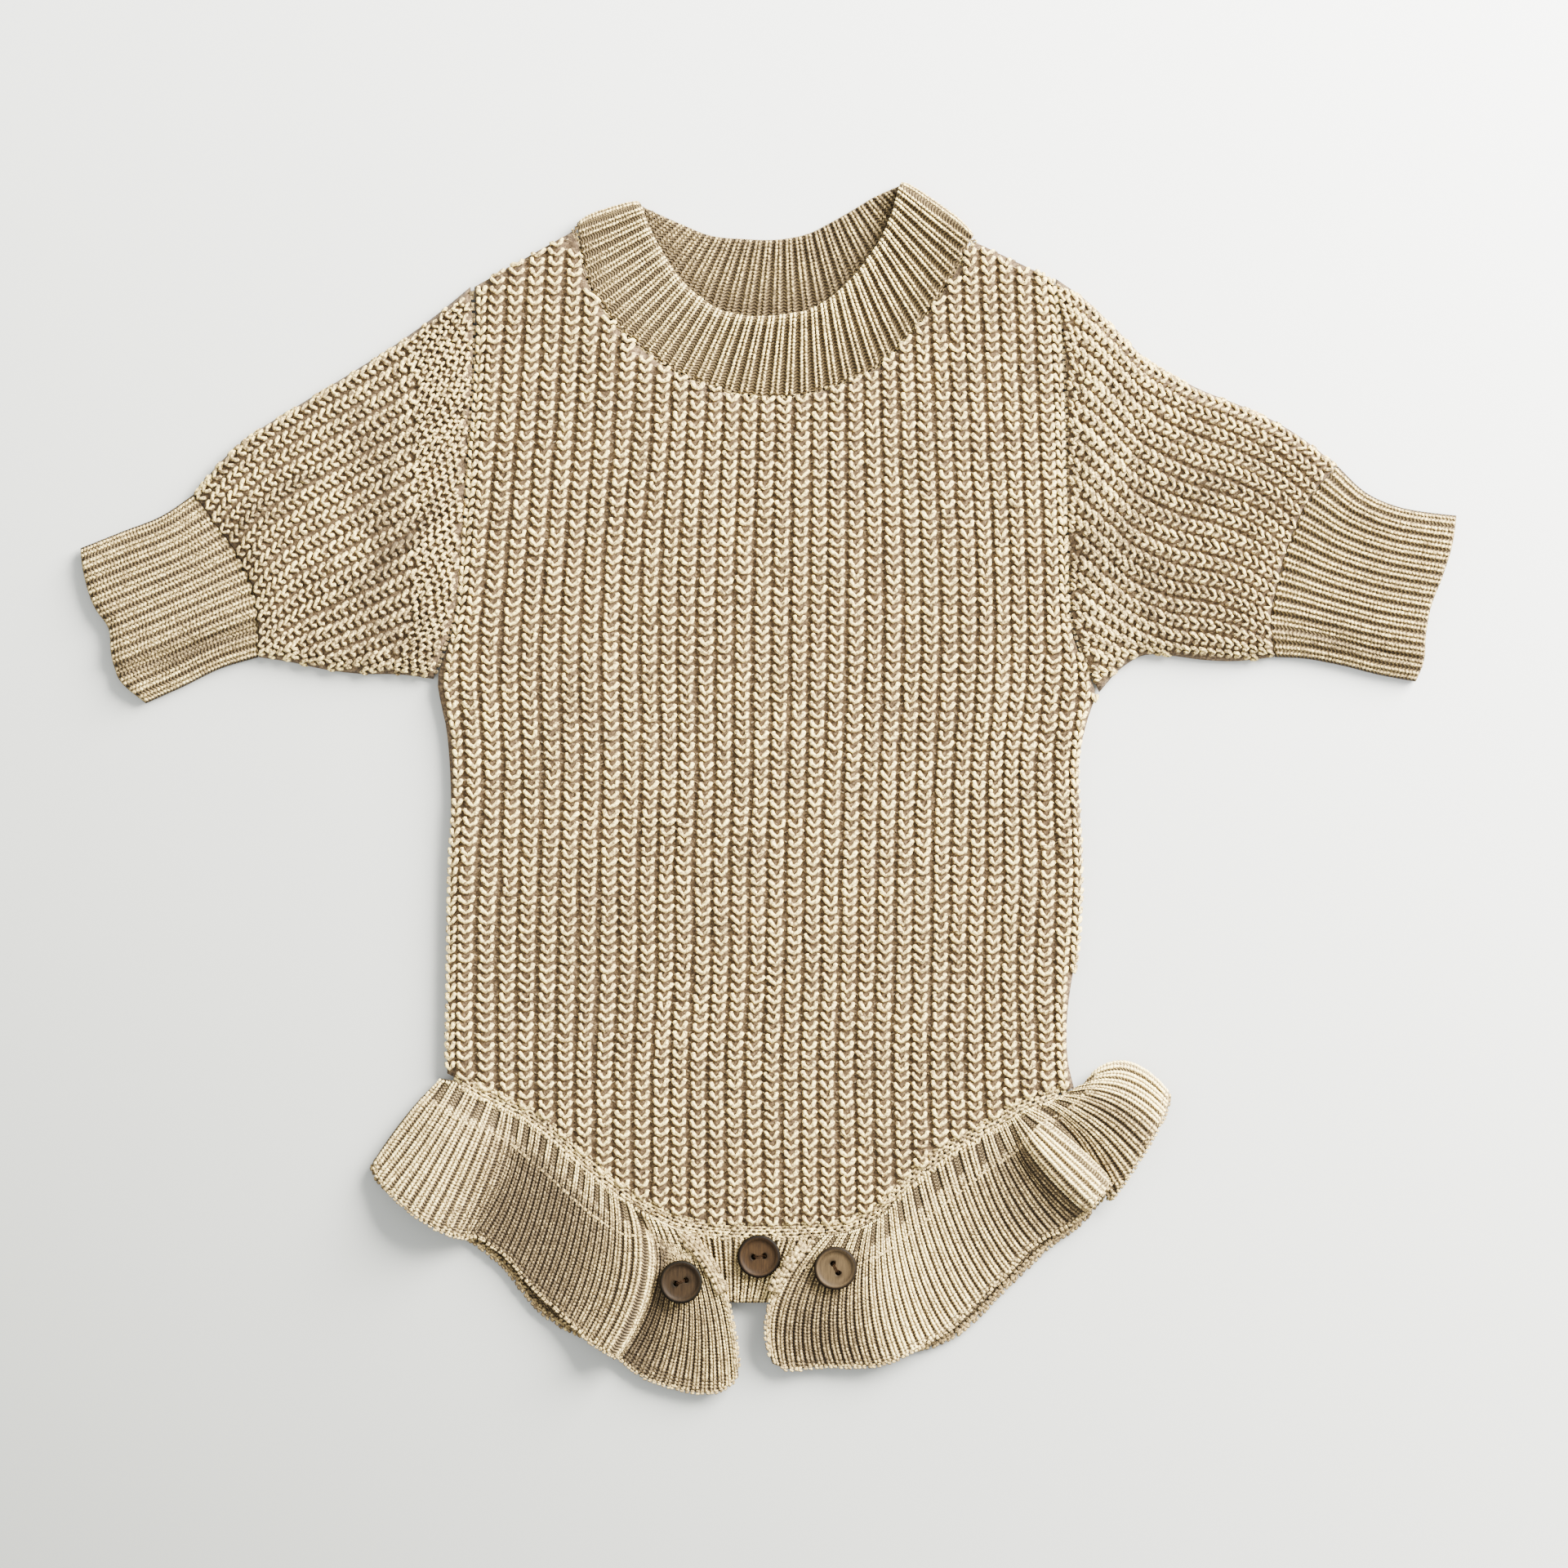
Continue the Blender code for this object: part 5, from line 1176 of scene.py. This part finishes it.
def build_neckband():
    """Neckband: one ribbed ring turned over at both shoulders, so its front lies on its back.

    Each skin is the straight run from the seam to the free edge at every rib column; the turns are
    arcs square to the fold lines.
    """
    front, front_rib = rib_profile(RIB_COLUMNS, NECK_RIBS, OPEN_RIB)
    back, back_rib = (side[::-1] for side in rib_profile(4, NAPE_RIBS, TWIN_RIB))
    across = np.array(NECK_ACROSS)
    edge, roll = band_edge(across), band_roll(across)
    turn = np.radians(np.linspace(75, -75, 7))
    share, level = np.meshgrid(front / NECK_RIBS, across, indexing="ij")
    rib = front_rib[:, None] * (1 - 0.5 * roll) * (1 - 0.75 * bell(across, 0.05))
    front_top = band_front(share, level, FINE_WALL - 0.7 + 0.9 * rib)
    front_plan = front_top[..., :2]
    front_under = raised(front_plan, FRONT_FLOOR + corner_lift(share))
    back_plan = band_between(NECK_BACK, COLLAR_BACK, *np.meshgrid(back / NAPE_RIBS, across, indexing="ij"))
    backs = np.broadcast_to(back_rib[:, None], back_plan.shape[:2])

    def corner(plan, sign):
        """The turn over one shoulder: its outer and its inner skin, from the front down."""
        line = plan[-1] - plan[0]
        outwards = sign * np.array([-line[1], line[0]]) / np.linalg.norm(line)
        roof = FRONT_FLOOR + CORNER_RISE
        skins = []
        for upper, lower, reach in ((roof + 2.0 * edge, 0.25, 3.3), (roof, 1.5 * edge, 0.9)):
            z = (upper + lower) / 2 + (upper - lower) / 2 * np.sin(turn)[:, None]
            reaches = 0.9 + (reach - 0.9) * np.sqrt(1 - across**5) * ease((across + 0.12) / 0.4)
            skins.append(raised(plan + outwards * reaches[:, None] * np.cos(turn)[:, None, None], z))
        return skins

    right, left = corner(front_plan[-1], -1), corner(front_plan[0], 1)
    under, back_top = raised(back_plan, 0.55 - 0.5 * backs), raised(back_plan, (1.5 + 0.6 * backs) * edge)
    outer = np.concatenate([front_top, right[0], under, left[0][::-1]])
    inner = np.concatenate([front_under, right[1], back_top, left[1][::-1]])
    turned = np.linspace(0, 2, len(turn)) + NECK_RIBS
    number = np.concatenate([front, turned, back + NECK_RIBS + 2, turned + NAPE_RIBS + 2])[:, None]
    corners = np.repeat(np.array(CORNER_RIBS)[:, None], len(across), axis=1)

    def rows(front_share, back_share):
        rib = np.concatenate([front_share, corners, backs * back_share, corners])
        return weave(number, across * 30, rib)

    # Colour levels: the front lighter along its roll (painted highlight), the back darker (painted shade
    # under the front).
    paint = {"weave": (rows(0.3 + 0.5 * rib + 0.3 * roll, 0.8), rows(rib * 0.5, 0.7))}
    ring = cloth("neckband_knit", outer, inner, True, paint, BAND, "neckband")

    def on_front_band(a, b):
        share, level = np.clip(a / NECK_RIBS, 0, 1), np.clip(b / (NECK_PLACES - 1), 0, 1)
        return band_front(share, level, FINE_WALL + 0.35)

    def on_back_band(a, b):
        share, level = np.clip(a / NAPE_RIBS, 0, 1), np.clip(b / (NECK_PLACES - 1), 0, 1)
        return raised(band_between(NECK_BACK, COLLAR_BACK, share, level), 2.25 * band_edge(level))

    # Painted light and shade: darker towards the seam, lighter towards the free edge.
    def front_detail(rib, row):
        return rib >= 0, 0.5, -0.04 - 0.22 * (1 - ease(row / 30)) + 0.15 * ease((row - 40) / 6)

    # Painted shadow of the front band's free edge on the back band, which is darker all over as painted
    # shade.
    def back_detail(rib, row):
        x, y, _ = on_back_band(rib + 0.5, row).T
        inwards = y - read_line(COLLAR_FRONT, x)
        kept = inwards > -4
        return kept, 0.54, -0.33 - 0.35 * bell(inwards[kept], 7)

    for side, skin in (("right", right[0]), ("left", left[0])):
        def on_turn(a, b, skin=skin):
            return read_grid(skin, a * 2.6, b)

        rib_stitches(
            f"neckband_{side}_turn_stitches", on_turn, rib_lines(on_turn, 2, 20), (1.3, 0.6, 0.2),
            (0.05, 0.3), (0.12, 0.3), every(0.5, -0.05),
        )
    for side, surface, count, place, detail in (
        ("front", on_front_band, NECK_RIBS, 0.25, front_detail),
        ("back", on_back_band, NAPE_RIBS, 0.26, back_detail),
    ):
        rib_stitches(
            f"neckband_{side}_stitches", surface, rib_lines(surface, count, NECK_PLACES), (1.3, 0.6, 0.0),
            (0.05, 1.0), (0.11, place), detail,
        )


# ---------------------------------------------------------------- ruffles and crotch bands


def ruffle_surface(rows, at, across):
    """The middle of a ruffle's cloth at fractional table rows `at` and shares `across`."""
    seam, middle, edge = np.split(smooth(np.arange(len(rows)), rows, at)[:, None], 3, axis=-1)
    w, m = across[:, None], RUFFLE_MIDDLE
    plan = (
        seam[..., :2] * (w - m) * (w - 1) / m
        + middle[..., :2] * w * (w - 1) / (m * (m - 1))
        + edge[..., :2] * w * (w - m) / (1 - m)
    )
    seam, middle, edge = (part[..., 2] for part in (seam, middle, edge))
    first, second = ease(across / m), ease((across - m) / (1 - m))
    return raised(plan, seam + (middle - seam) * first + (edge - middle) * second)


def ruffle_normals(rows, at, across):
    """Unit normals of that surface, from small steps both ways."""
    step = 0.02
    along_it = ruffle_surface(rows, at + step, across) - ruffle_surface(rows, at - step, across)
    beyond = ruffle_surface(rows, at, across + step) - ruffle_surface(rows, at, across - step)
    return unit(np.cross(along_it, beyond))


def build_ruffle(side, back_rows, front_rows, painted_fold_light, ribs, gather, roll, cut, area):
    """Ruffle: a gathered strip of fine ribs with pleats under the seam and a cast-off edge with a painted
    highlight.

    The rib's height is its profile across; for the first 10 mm every `gather`th groove sinks into a
    long dent, and a dotted line ends the gathers. Its normals are upright along the seam.
    """
    fold = len(back_rows)
    flat = [(x, 0.8, 1.2, *row[:2], 1.2, *row[2:], 1.2) for x, *row in back_rows]
    table = np.array([*flat, *front_rows])
    rows = np.column_stack([hem_point(*table[:, :2].T), table[:, 2:]])
    dense = np.linspace(0, len(rows) - 1, 1600)
    run = lengths(ruffle_surface(rows, dense, np.array([0.75]))[:, 0])
    fold_run = np.interp(fold, dense, run)
    table_rows, counts = np.array(ribs).T
    ribs = int(counts[-1])
    number, profile = rib_profile(RIB_COLUMNS, ribs, TWIN_RIB)
    front_run = np.interp(number, counts, np.interp(fold + table_rows, dense, run))
    back_ribs = int(fold_run / ((run[-1] - fold_run) / ribs))
    back_number, back_profile = rib_profile(3, back_ribs, ((0, 0), (0.34, 1), (0.67, 1), (1, 0)))
    first = len(back_number) - 1
    at = np.interp(np.concatenate([back_number[:-1] / back_ribs * fold_run, front_run]), run, dense)
    number = np.concatenate([back_number[:-1] - back_ribs, number])[:, None]
    profile = np.concatenate([back_profile[:-1], profile])[:, None]
    across = np.concatenate([np.linspace(0, 0.36, 11), np.linspace(0.42, 0.94, 9), [0.97, 1.0]])
    points, normals = ruffle_surface(rows, at, across), ruffle_normals(rows, at, across)
    upside = np.sign(normals[-1, 5, 2])
    normals *= upside
    upright = UP * np.where(normals[:, 0, 2:] < 0, -1.0, 1.0)
    turned = ruffle_normals(rows, at, across[:1] + 0.02)[:, 0] * upside
    normals[:, 0] = np.where((np.abs(at - fold) < 0.45)[:, None], turned, upright)
    out = lengths(points)
    dent = bell(number / gather % 1.0 - 0.5, 0.28) * ease((out - 1.0) / 1.5) * ease((10.3 - out) / 1.5)
    cast_off = bell((1 - across) * 34, 1.4)
    rib = profile * (1 - 0.85 * bell(out, 1.6)) * (1 - 0.6 * cast_off)
    rib = rib + 0.45 * cast_off + 0.3 * bell(out - 10.6, 0.7) - 0.7 * dent
    shape = (0.75 * rib - 0.15) * (1 - 0.4 * (across == 1))
    half_wall = FINE_WALL / 2 * (1 - 0.3 * (across > 0.99))
    outer = points + normals * (half_wall + np.maximum(shape, -0.6))[..., None]
    inner = points - normals * half_wall[:, None]
    crown = points + normals * (FINE_WALL / 2 + 0.45 - 0.5 * dent - 0.35 * cast_off)[..., None]
    for skin, lowest in ((outer, 0.15), (inner, 0.0), (crown, 0.9)):
        skin[..., 2] = np.maximum(skin[..., 2], lowest)
    # Painted light and shade of the ruffle's folds, row by row, faded in beyond the gathers, and a little
    # lighter along the seam.
    tone_and_shade = smooth(np.arange(len(painted_fold_light)), painted_fold_light, np.clip(at - fold, 0, len(painted_fold_light) - 1))[:, None]
    tone_and_shade = tone_and_shade * ease((out - 7) / 6) + 0.12 * ease((3 - out) / 3)
    # Colour level: the rib's height, darker in the dents (painted shade) and lighter along the cast-off edge
    # (painted highlight), with the painted fold light.
    paint = {"weave": (weave(number, out, rib + tone_and_shade + 0.18 * dent), weave(number, out, rib * 0.4))}
    name = f"ruffle_{side}"
    knit = cloth(name + "_knit", outer, inner, False, paint, RUFFLE, name)

    def surface(a, b):
        return read_grid(crown, first + a * RIB_COLUMNS, b)

    # Stitches beside the dents are darker: painted shade in the dents.
    def detail(rib, row):
        column = first + 3.0 + RIB_COLUMNS * rib
        sunk, shade = (read_grid(value[..., None], column, row)[:, 0] for value in (dent, tone_and_shade))
        kept = sunk < 0.5
        rib, row = rib[kept], row[kept]
        breadth = np.linalg.norm(surface(rib + 1.0, row) - surface(rib, row), axis=-1)
        return kept, np.clip(0.15 * breadth, 0.3, 0.62), (shade - 0.3 * sunk)[kept]

    pieces = [rib_stitches(
        name + "_stitches", surface, crown[first + 3 :: RIB_COLUMNS][:ribs], (1.25, 0.9, 0.5), (0.05, 0.3),
        (0.13, 0.28), detail,
    )]
    columns = np.arange(first, len(crown) - 1.0)
    # Each part is darkened; the back edge most, as painted shade where it lies under the front.
    for part, path, pitch, offsets, half_width, thick, part_tone_and_shade in (
        ("edge", crown[first:, -1], 1.8, (0,), 0.6, 0.5, -0.3),
        ("back_edge", crown[: first + 6, -1] * [1, 1, 0] + 2.6 * UP, 1.9, (-0.4, 0.5), 0.8, 0.7, -0.5),
        ("end", crown[-1] + 0.3 * UP, 2.0, (-0.5, 0.4), 0.6, 0.55, -0.3),
        ("gather", read_grid(crown, columns, np.full(len(columns), 6.9)), 2.1, (0,), 0.25, 0.4, -0.3),
        ("roll", along(roll, np.linspace(0, 1, 40)) + 0.7 * UP, 2.4, (-1.5, -0.2, 1.1), 0.9, 0.9, -0.35),
    ):
        pieces.append(braid(
            f"{name}_{part}", path, pitch, offsets, half_width, thick, FINE, part_tone_and_shade,
        ))
    return outer


def build_crotch_band(side, floor, wall, rise, inset):
    """Crotch band: half the button placket, fine ribs from the hem down between the legs."""
    name = f"crotch_band_{side}"
    number, rib = rib_profile(RIB_COLUMNS, CROTCH_RIBS, TWIN_RIB)
    share = number / CROTCH_RIBS
    number, rib = number[:, None], rib[:, None]
    top_x, low_x = (
        left + inset + (right - left - 2 * inset) * share for left, right in (BAND_TOP_X, BAND_BOTTOM_X)
    )
    top = hem_point(top_x, SEAM_GAP)
    low = np.stack([low_x, BAND_BOTTOM_Y + inset - 1.2 * np.sin(np.pi * share)], axis=1)
    levels = np.concatenate([[0, 0.04, 0.1], np.linspace(0.2, 0.9, 8), [0.95, 0.98, 1.0]])
    plan = top[:, None] + (low - top)[:, None] * levels[:, None]
    edge = 1 - 0.3 * bell(1 - levels, 0.02) - 0.15 * bell(levels, 0.03)
    upper, rows = raised(plan, floor + (wall + rise * rib) * edge), weave(number, levels * 25, rib)
    paint = {"weave": (rows, rows * [1, 1, 0.4])}
    knit = cloth(name + "_knit", upper, raised(plan, floor), False, paint, RUFFLE, name)
    if floor > 0:
        crown = raised(plan, floor + (wall + rise + 0.1) * edge)

        def surface(a, b):
            return read_grid(crown, a * RIB_COLUMNS, b)

        # The stitches are darker: painted shade, as the band lies below the ruffle ends and buttons.
        rib_stitches(
            name + "_knit_stitches", surface, crown[3::RIB_COLUMNS][:CROTCH_RIBS], (1.25, 0.5, 0.3),
            (0.05, 0.3), (0.13, 0.3), every(0.46, -0.18),
        )
    return upper


# ---------------------------------------------------------------- buttons


def seat_height(cloth_top, x, y):
    """The highest cloth under a button."""
    near = np.hypot(cloth_top[..., 0] - x, cloth_top[..., 1] - y) < BUTTON_RADIUS + 1.5
    return cloth_top[near][:, 2].max() + BUTTON_SEAT


def drill(disc, hole, z, thick):
    """Takes a straight round hole of 2 mm out of a disc, all the way through."""
    sides = np.arange(20)
    angle = sides * 2 * np.pi / 20
    circle = np.array(hole) + np.stack([np.cos(angle), np.sin(angle)], axis=1)
    points = np.concatenate([raised(circle, z - 1), raised(circle, z + thick + 1)])
    walls = np.stack([sides, (sides + 1) % 20, 20 + (sides + 1) % 20, 20 + sides], -1)
    mesh = bpy.data.meshes.new("drill")
    faces = [sides[::-1].tolist(), (sides + 20).tolist(), *walls.tolist()]
    mesh.from_pydata((points * 0.001).tolist(), [], faces)
    cutter = add_object("drill", mesh)
    cut = disc.modifiers.new("hole", "BOOLEAN")
    cut.object, cut.solver = cutter, "EXACT"
    depsgraph = bpy.context.evaluated_depsgraph_get()
    bored = bpy.data.meshes.new_from_object(disc.evaluated_get(depsgraph))
    disc.modifiers.clear()
    disc.data = bored
    bpy.data.objects.remove(cutter)


def build_button(name, x, y, z, turn):
    """Two-hole button: a lathe-turned profile with a round rim and a dished face, drilled twice."""
    r, t = BUTTON_RADIUS, BUTTON_THICK
    away, height = np.array((
        (0.02, 0.0), (r - 1.6, 0.0), (r - 0.7, 0.12), (r - 0.2, 0.5), (r, 1.1), (r, t - 1.1),
        (r - 0.1, t - 0.55), (r - 0.35, t - 0.18), (r - 0.7, t), (r - 1.05, t - 0.03),
        (r - 1.4, t - 0.2), (r - 1.8, t - 0.55), (r - 2.3, t - 0.78), (r - 3.2, t - 0.85),
        (r - 4.8, t - 0.85), (0.02, t - 0.82),
    )).T
    angle = np.arange(64)[:, None] * 2 * np.pi / 64
    ring = raised(np.dstack([x + away * np.cos(angle), y + away * np.sin(angle)]), z + height)
    grid = np.arange(ring[..., 0].size).reshape(ring.shape[:2])
    closed = np.concatenate([grid, grid[:1]])
    faces = [quads(closed[:-1], closed[1:]), grid[None, ::-1, 0], grid[None, :, -1]]
    disc = add_piece(name + "_wood", ring.reshape(-1, 3), faces, {}, WOODS[name], name)
    face_outwards(disc)
    ways = np.radians(turn) + np.array([0, np.pi])
    holes = [x, y] + 0.5 * BUTTON_HOLE_APART * np.stack([np.cos(ways), np.sin(ways)], axis=1)
    for hole in holes:
        drill(disc, hole, z, t)
    places = np.empty(len(disc.data.vertices) * 3)
    disc.data.vertices.foreach_get("co", places)
    places = places.reshape(-1, 3)[:, :2] * 1000
    far = np.linalg.norm(places - [x, y], axis=1)
    near_hole = np.linalg.norm(places[:, None] - holes, axis=-1).min(axis=1)
    # Darker at the rim and on a ring just inside it, and round the holes as painted shade.
    darker_rim_and_holes = np.maximum(ease((far - r + 1.5) / 0.9), np.exp(-((near_hole / 1.55) ** 4)))
    paint_points(disc.data, "shade", np.maximum(darker_rim_and_holes, 0.5 * bell(far - r + 2.0, 0.4)))
    sideways = np.array([-np.sin(ways[0]), np.cos(ways[0]), 0]) * 0.28
    holes = raised(holes, z + t - 1.15)
    stems = holes - 0.4 * UP
    start, end = (
        np.stack([hole + sideways, hole - sideways, *stem]) for hole, stem in zip(holes, (stems, stems - UP))
    )
    up, wide = np.array([UP] * 2 + [[1, 0, 0]] * 2), np.array([0.24, 0.24, 0.85, 0.85])
    places = np.linspace(0.1, 0.9, 9)
    strands(name + "_thread", start, end, up, wide, wide, 0.3, THREAD, 0.0, 8, places)


# ---------------------------------------------------------------- seams


def build_seams():
    """Seams: small slanted stitches over the joins of the cloth."""
    y = np.linspace(184.5, 33, 170)
    for side, edge, gap, low in (("left", LEFT_SIDE, -0.45, 38), ("right", RIGHT_SIDE, 0.45, 33)):
        rows = y[y > low]
        z = 4.9 - 1.8 * (1 - ease((rows - low) / 9)) - ease((rows - 174) / 9)
        path = np.column_stack([side_x(edge, rows) + gap, rows, z])
        # Darkened: painted shade in the seam's groove.
        braid(f"armhole_{side}_seam", path, 2.2, (0,), 0.55, 0.62, STITCH, -0.7)
    run = np.linspace(0, 1, 220)
    z = 5.0 - ease(np.minimum(run, 1 - run) / 0.1)
    neck = moved_out(NECK_FRONT, 0.5, len(run))
    ends = [neck[k] + unit(neck[k] - neck[j]) * 3.0 for k, j in ((0, 5), (-1, -6))]
    path = raised(np.stack([ends[0], *neck, ends[1]]), np.pad(z, 1, "edge"))
    # Darkened: painted shadow along the foot of the neckband.
    braid("neck_seam", path, 2.0, (-0.3, 0.9), 0.7, 0.45, STITCH, -0.5)
    hem = moved_out(HEM, 0.4, 260)
    from_end = np.minimum(hem[:, 0] - hem[0, 0], hem[-1, 0] - hem[:, 0])
    path = raised(hem, 5.7 - 1.8 * (1 - ease(from_end / 9)))
    braid("hem_seam", path, 2.5, (-3.5, -2.3, -1.1, 0.1, 1.3), 0.8, 0.55, STITCH, -0.25)


# ---------------------------------------------------------------- putting it together


def add_area_light(name, place, size, watts, colour):
    """A soft square light at `place` in metres, facing the middle of the romper."""
    lamp = bpy.data.lights.new(name, "AREA")
    lamp.size, lamp.energy, lamp.color = size, watts, colour
    light = add_object(name, lamp)
    light.location = place
    light.rotation_euler = Vector(place).to_track_quat("Z", "Y").to_euler()


def add_floor():
    """The pale surface that the romper lies on, with painted light: darker at the lower left, lighter at the
    upper right.
    """
    made, tree, shader, place = new_finish("matt_pale_board_painted_light")
    # Painted light: the colour runs from darker at the lower left to lighter at the upper right.
    across = add_node(
        tree, "ShaderNodeVectorMath", {"operation": "DOT_PRODUCT"}, i0=place, i1=(0.7, 0.9, 0.0)
    )
    level = maths(tree, "ADD", across.outputs["Value"], 0.5)
    colour = colour_ramp(tree, level, (0.0, "81827C"), (0.5, "B4B5AF"), (1.0, "D8D9D6"))
    join(tree, shader, Base_Color=colour, Roughness=0.9, Specular_IOR_Level=0.1)
    mesh = bpy.data.meshes.new("floor")
    mesh.from_pydata([(-3, -3, 0), (3, -3, 0), (3, 3, 0), (-3, 3, 0)], [], [(0, 1, 2, 3)])
    mesh.materials.append(made)
    add_object("floor", mesh)


build_front()
build_back()
for side, sleeve in SLEEVES.items():
    build_sleeve(side, sleeve_edges(*SLEEVE_EDGES[side]), **sleeve)
for side, cuff in CUFFS.items():
    build_cuff(side, **cuff)
build_neckband()
tops = {f"button_{side}": build_ruffle(side, **ruffle) for side, ruffle in RUFFLES.items()}
tops["button_centre"] = build_crotch_band("front", FRONT_FLOOR, 1.9, 1.0, 0.0)
build_crotch_band("back", 0.0, 2.4, 0.2, 0.6)
for name, (x, y, turn) in BUTTONS.items():
    build_button(name, x, y, seat_height(tops[name], x, y), turn)
build_seams()
add_floor()

camera = add_object("camera", bpy.data.cameras.new("camera"))
camera.data.lens, camera.data.sensor_width = 135.0, 36.0
camera.location = (0.0057, 0.00045, 2.16)
bpy.context.scene.camera = camera

add_area_light("key", (1.45, 1.2, 1.02), 1.5, 690, (1.0, 0.985, 0.96))
add_area_light("fill", (-1.2, -0.2, 1.6), 1.6, 16, (0.95, 0.97, 1.0))
world = bpy.data.worlds.new("studio")
bpy.context.scene.world = world
world.use_nodes = True
join(world.node_tree, world.node_tree.nodes["Background"], Color=(0.96, 0.98, 1.0, 1.0), Strength=1.8)
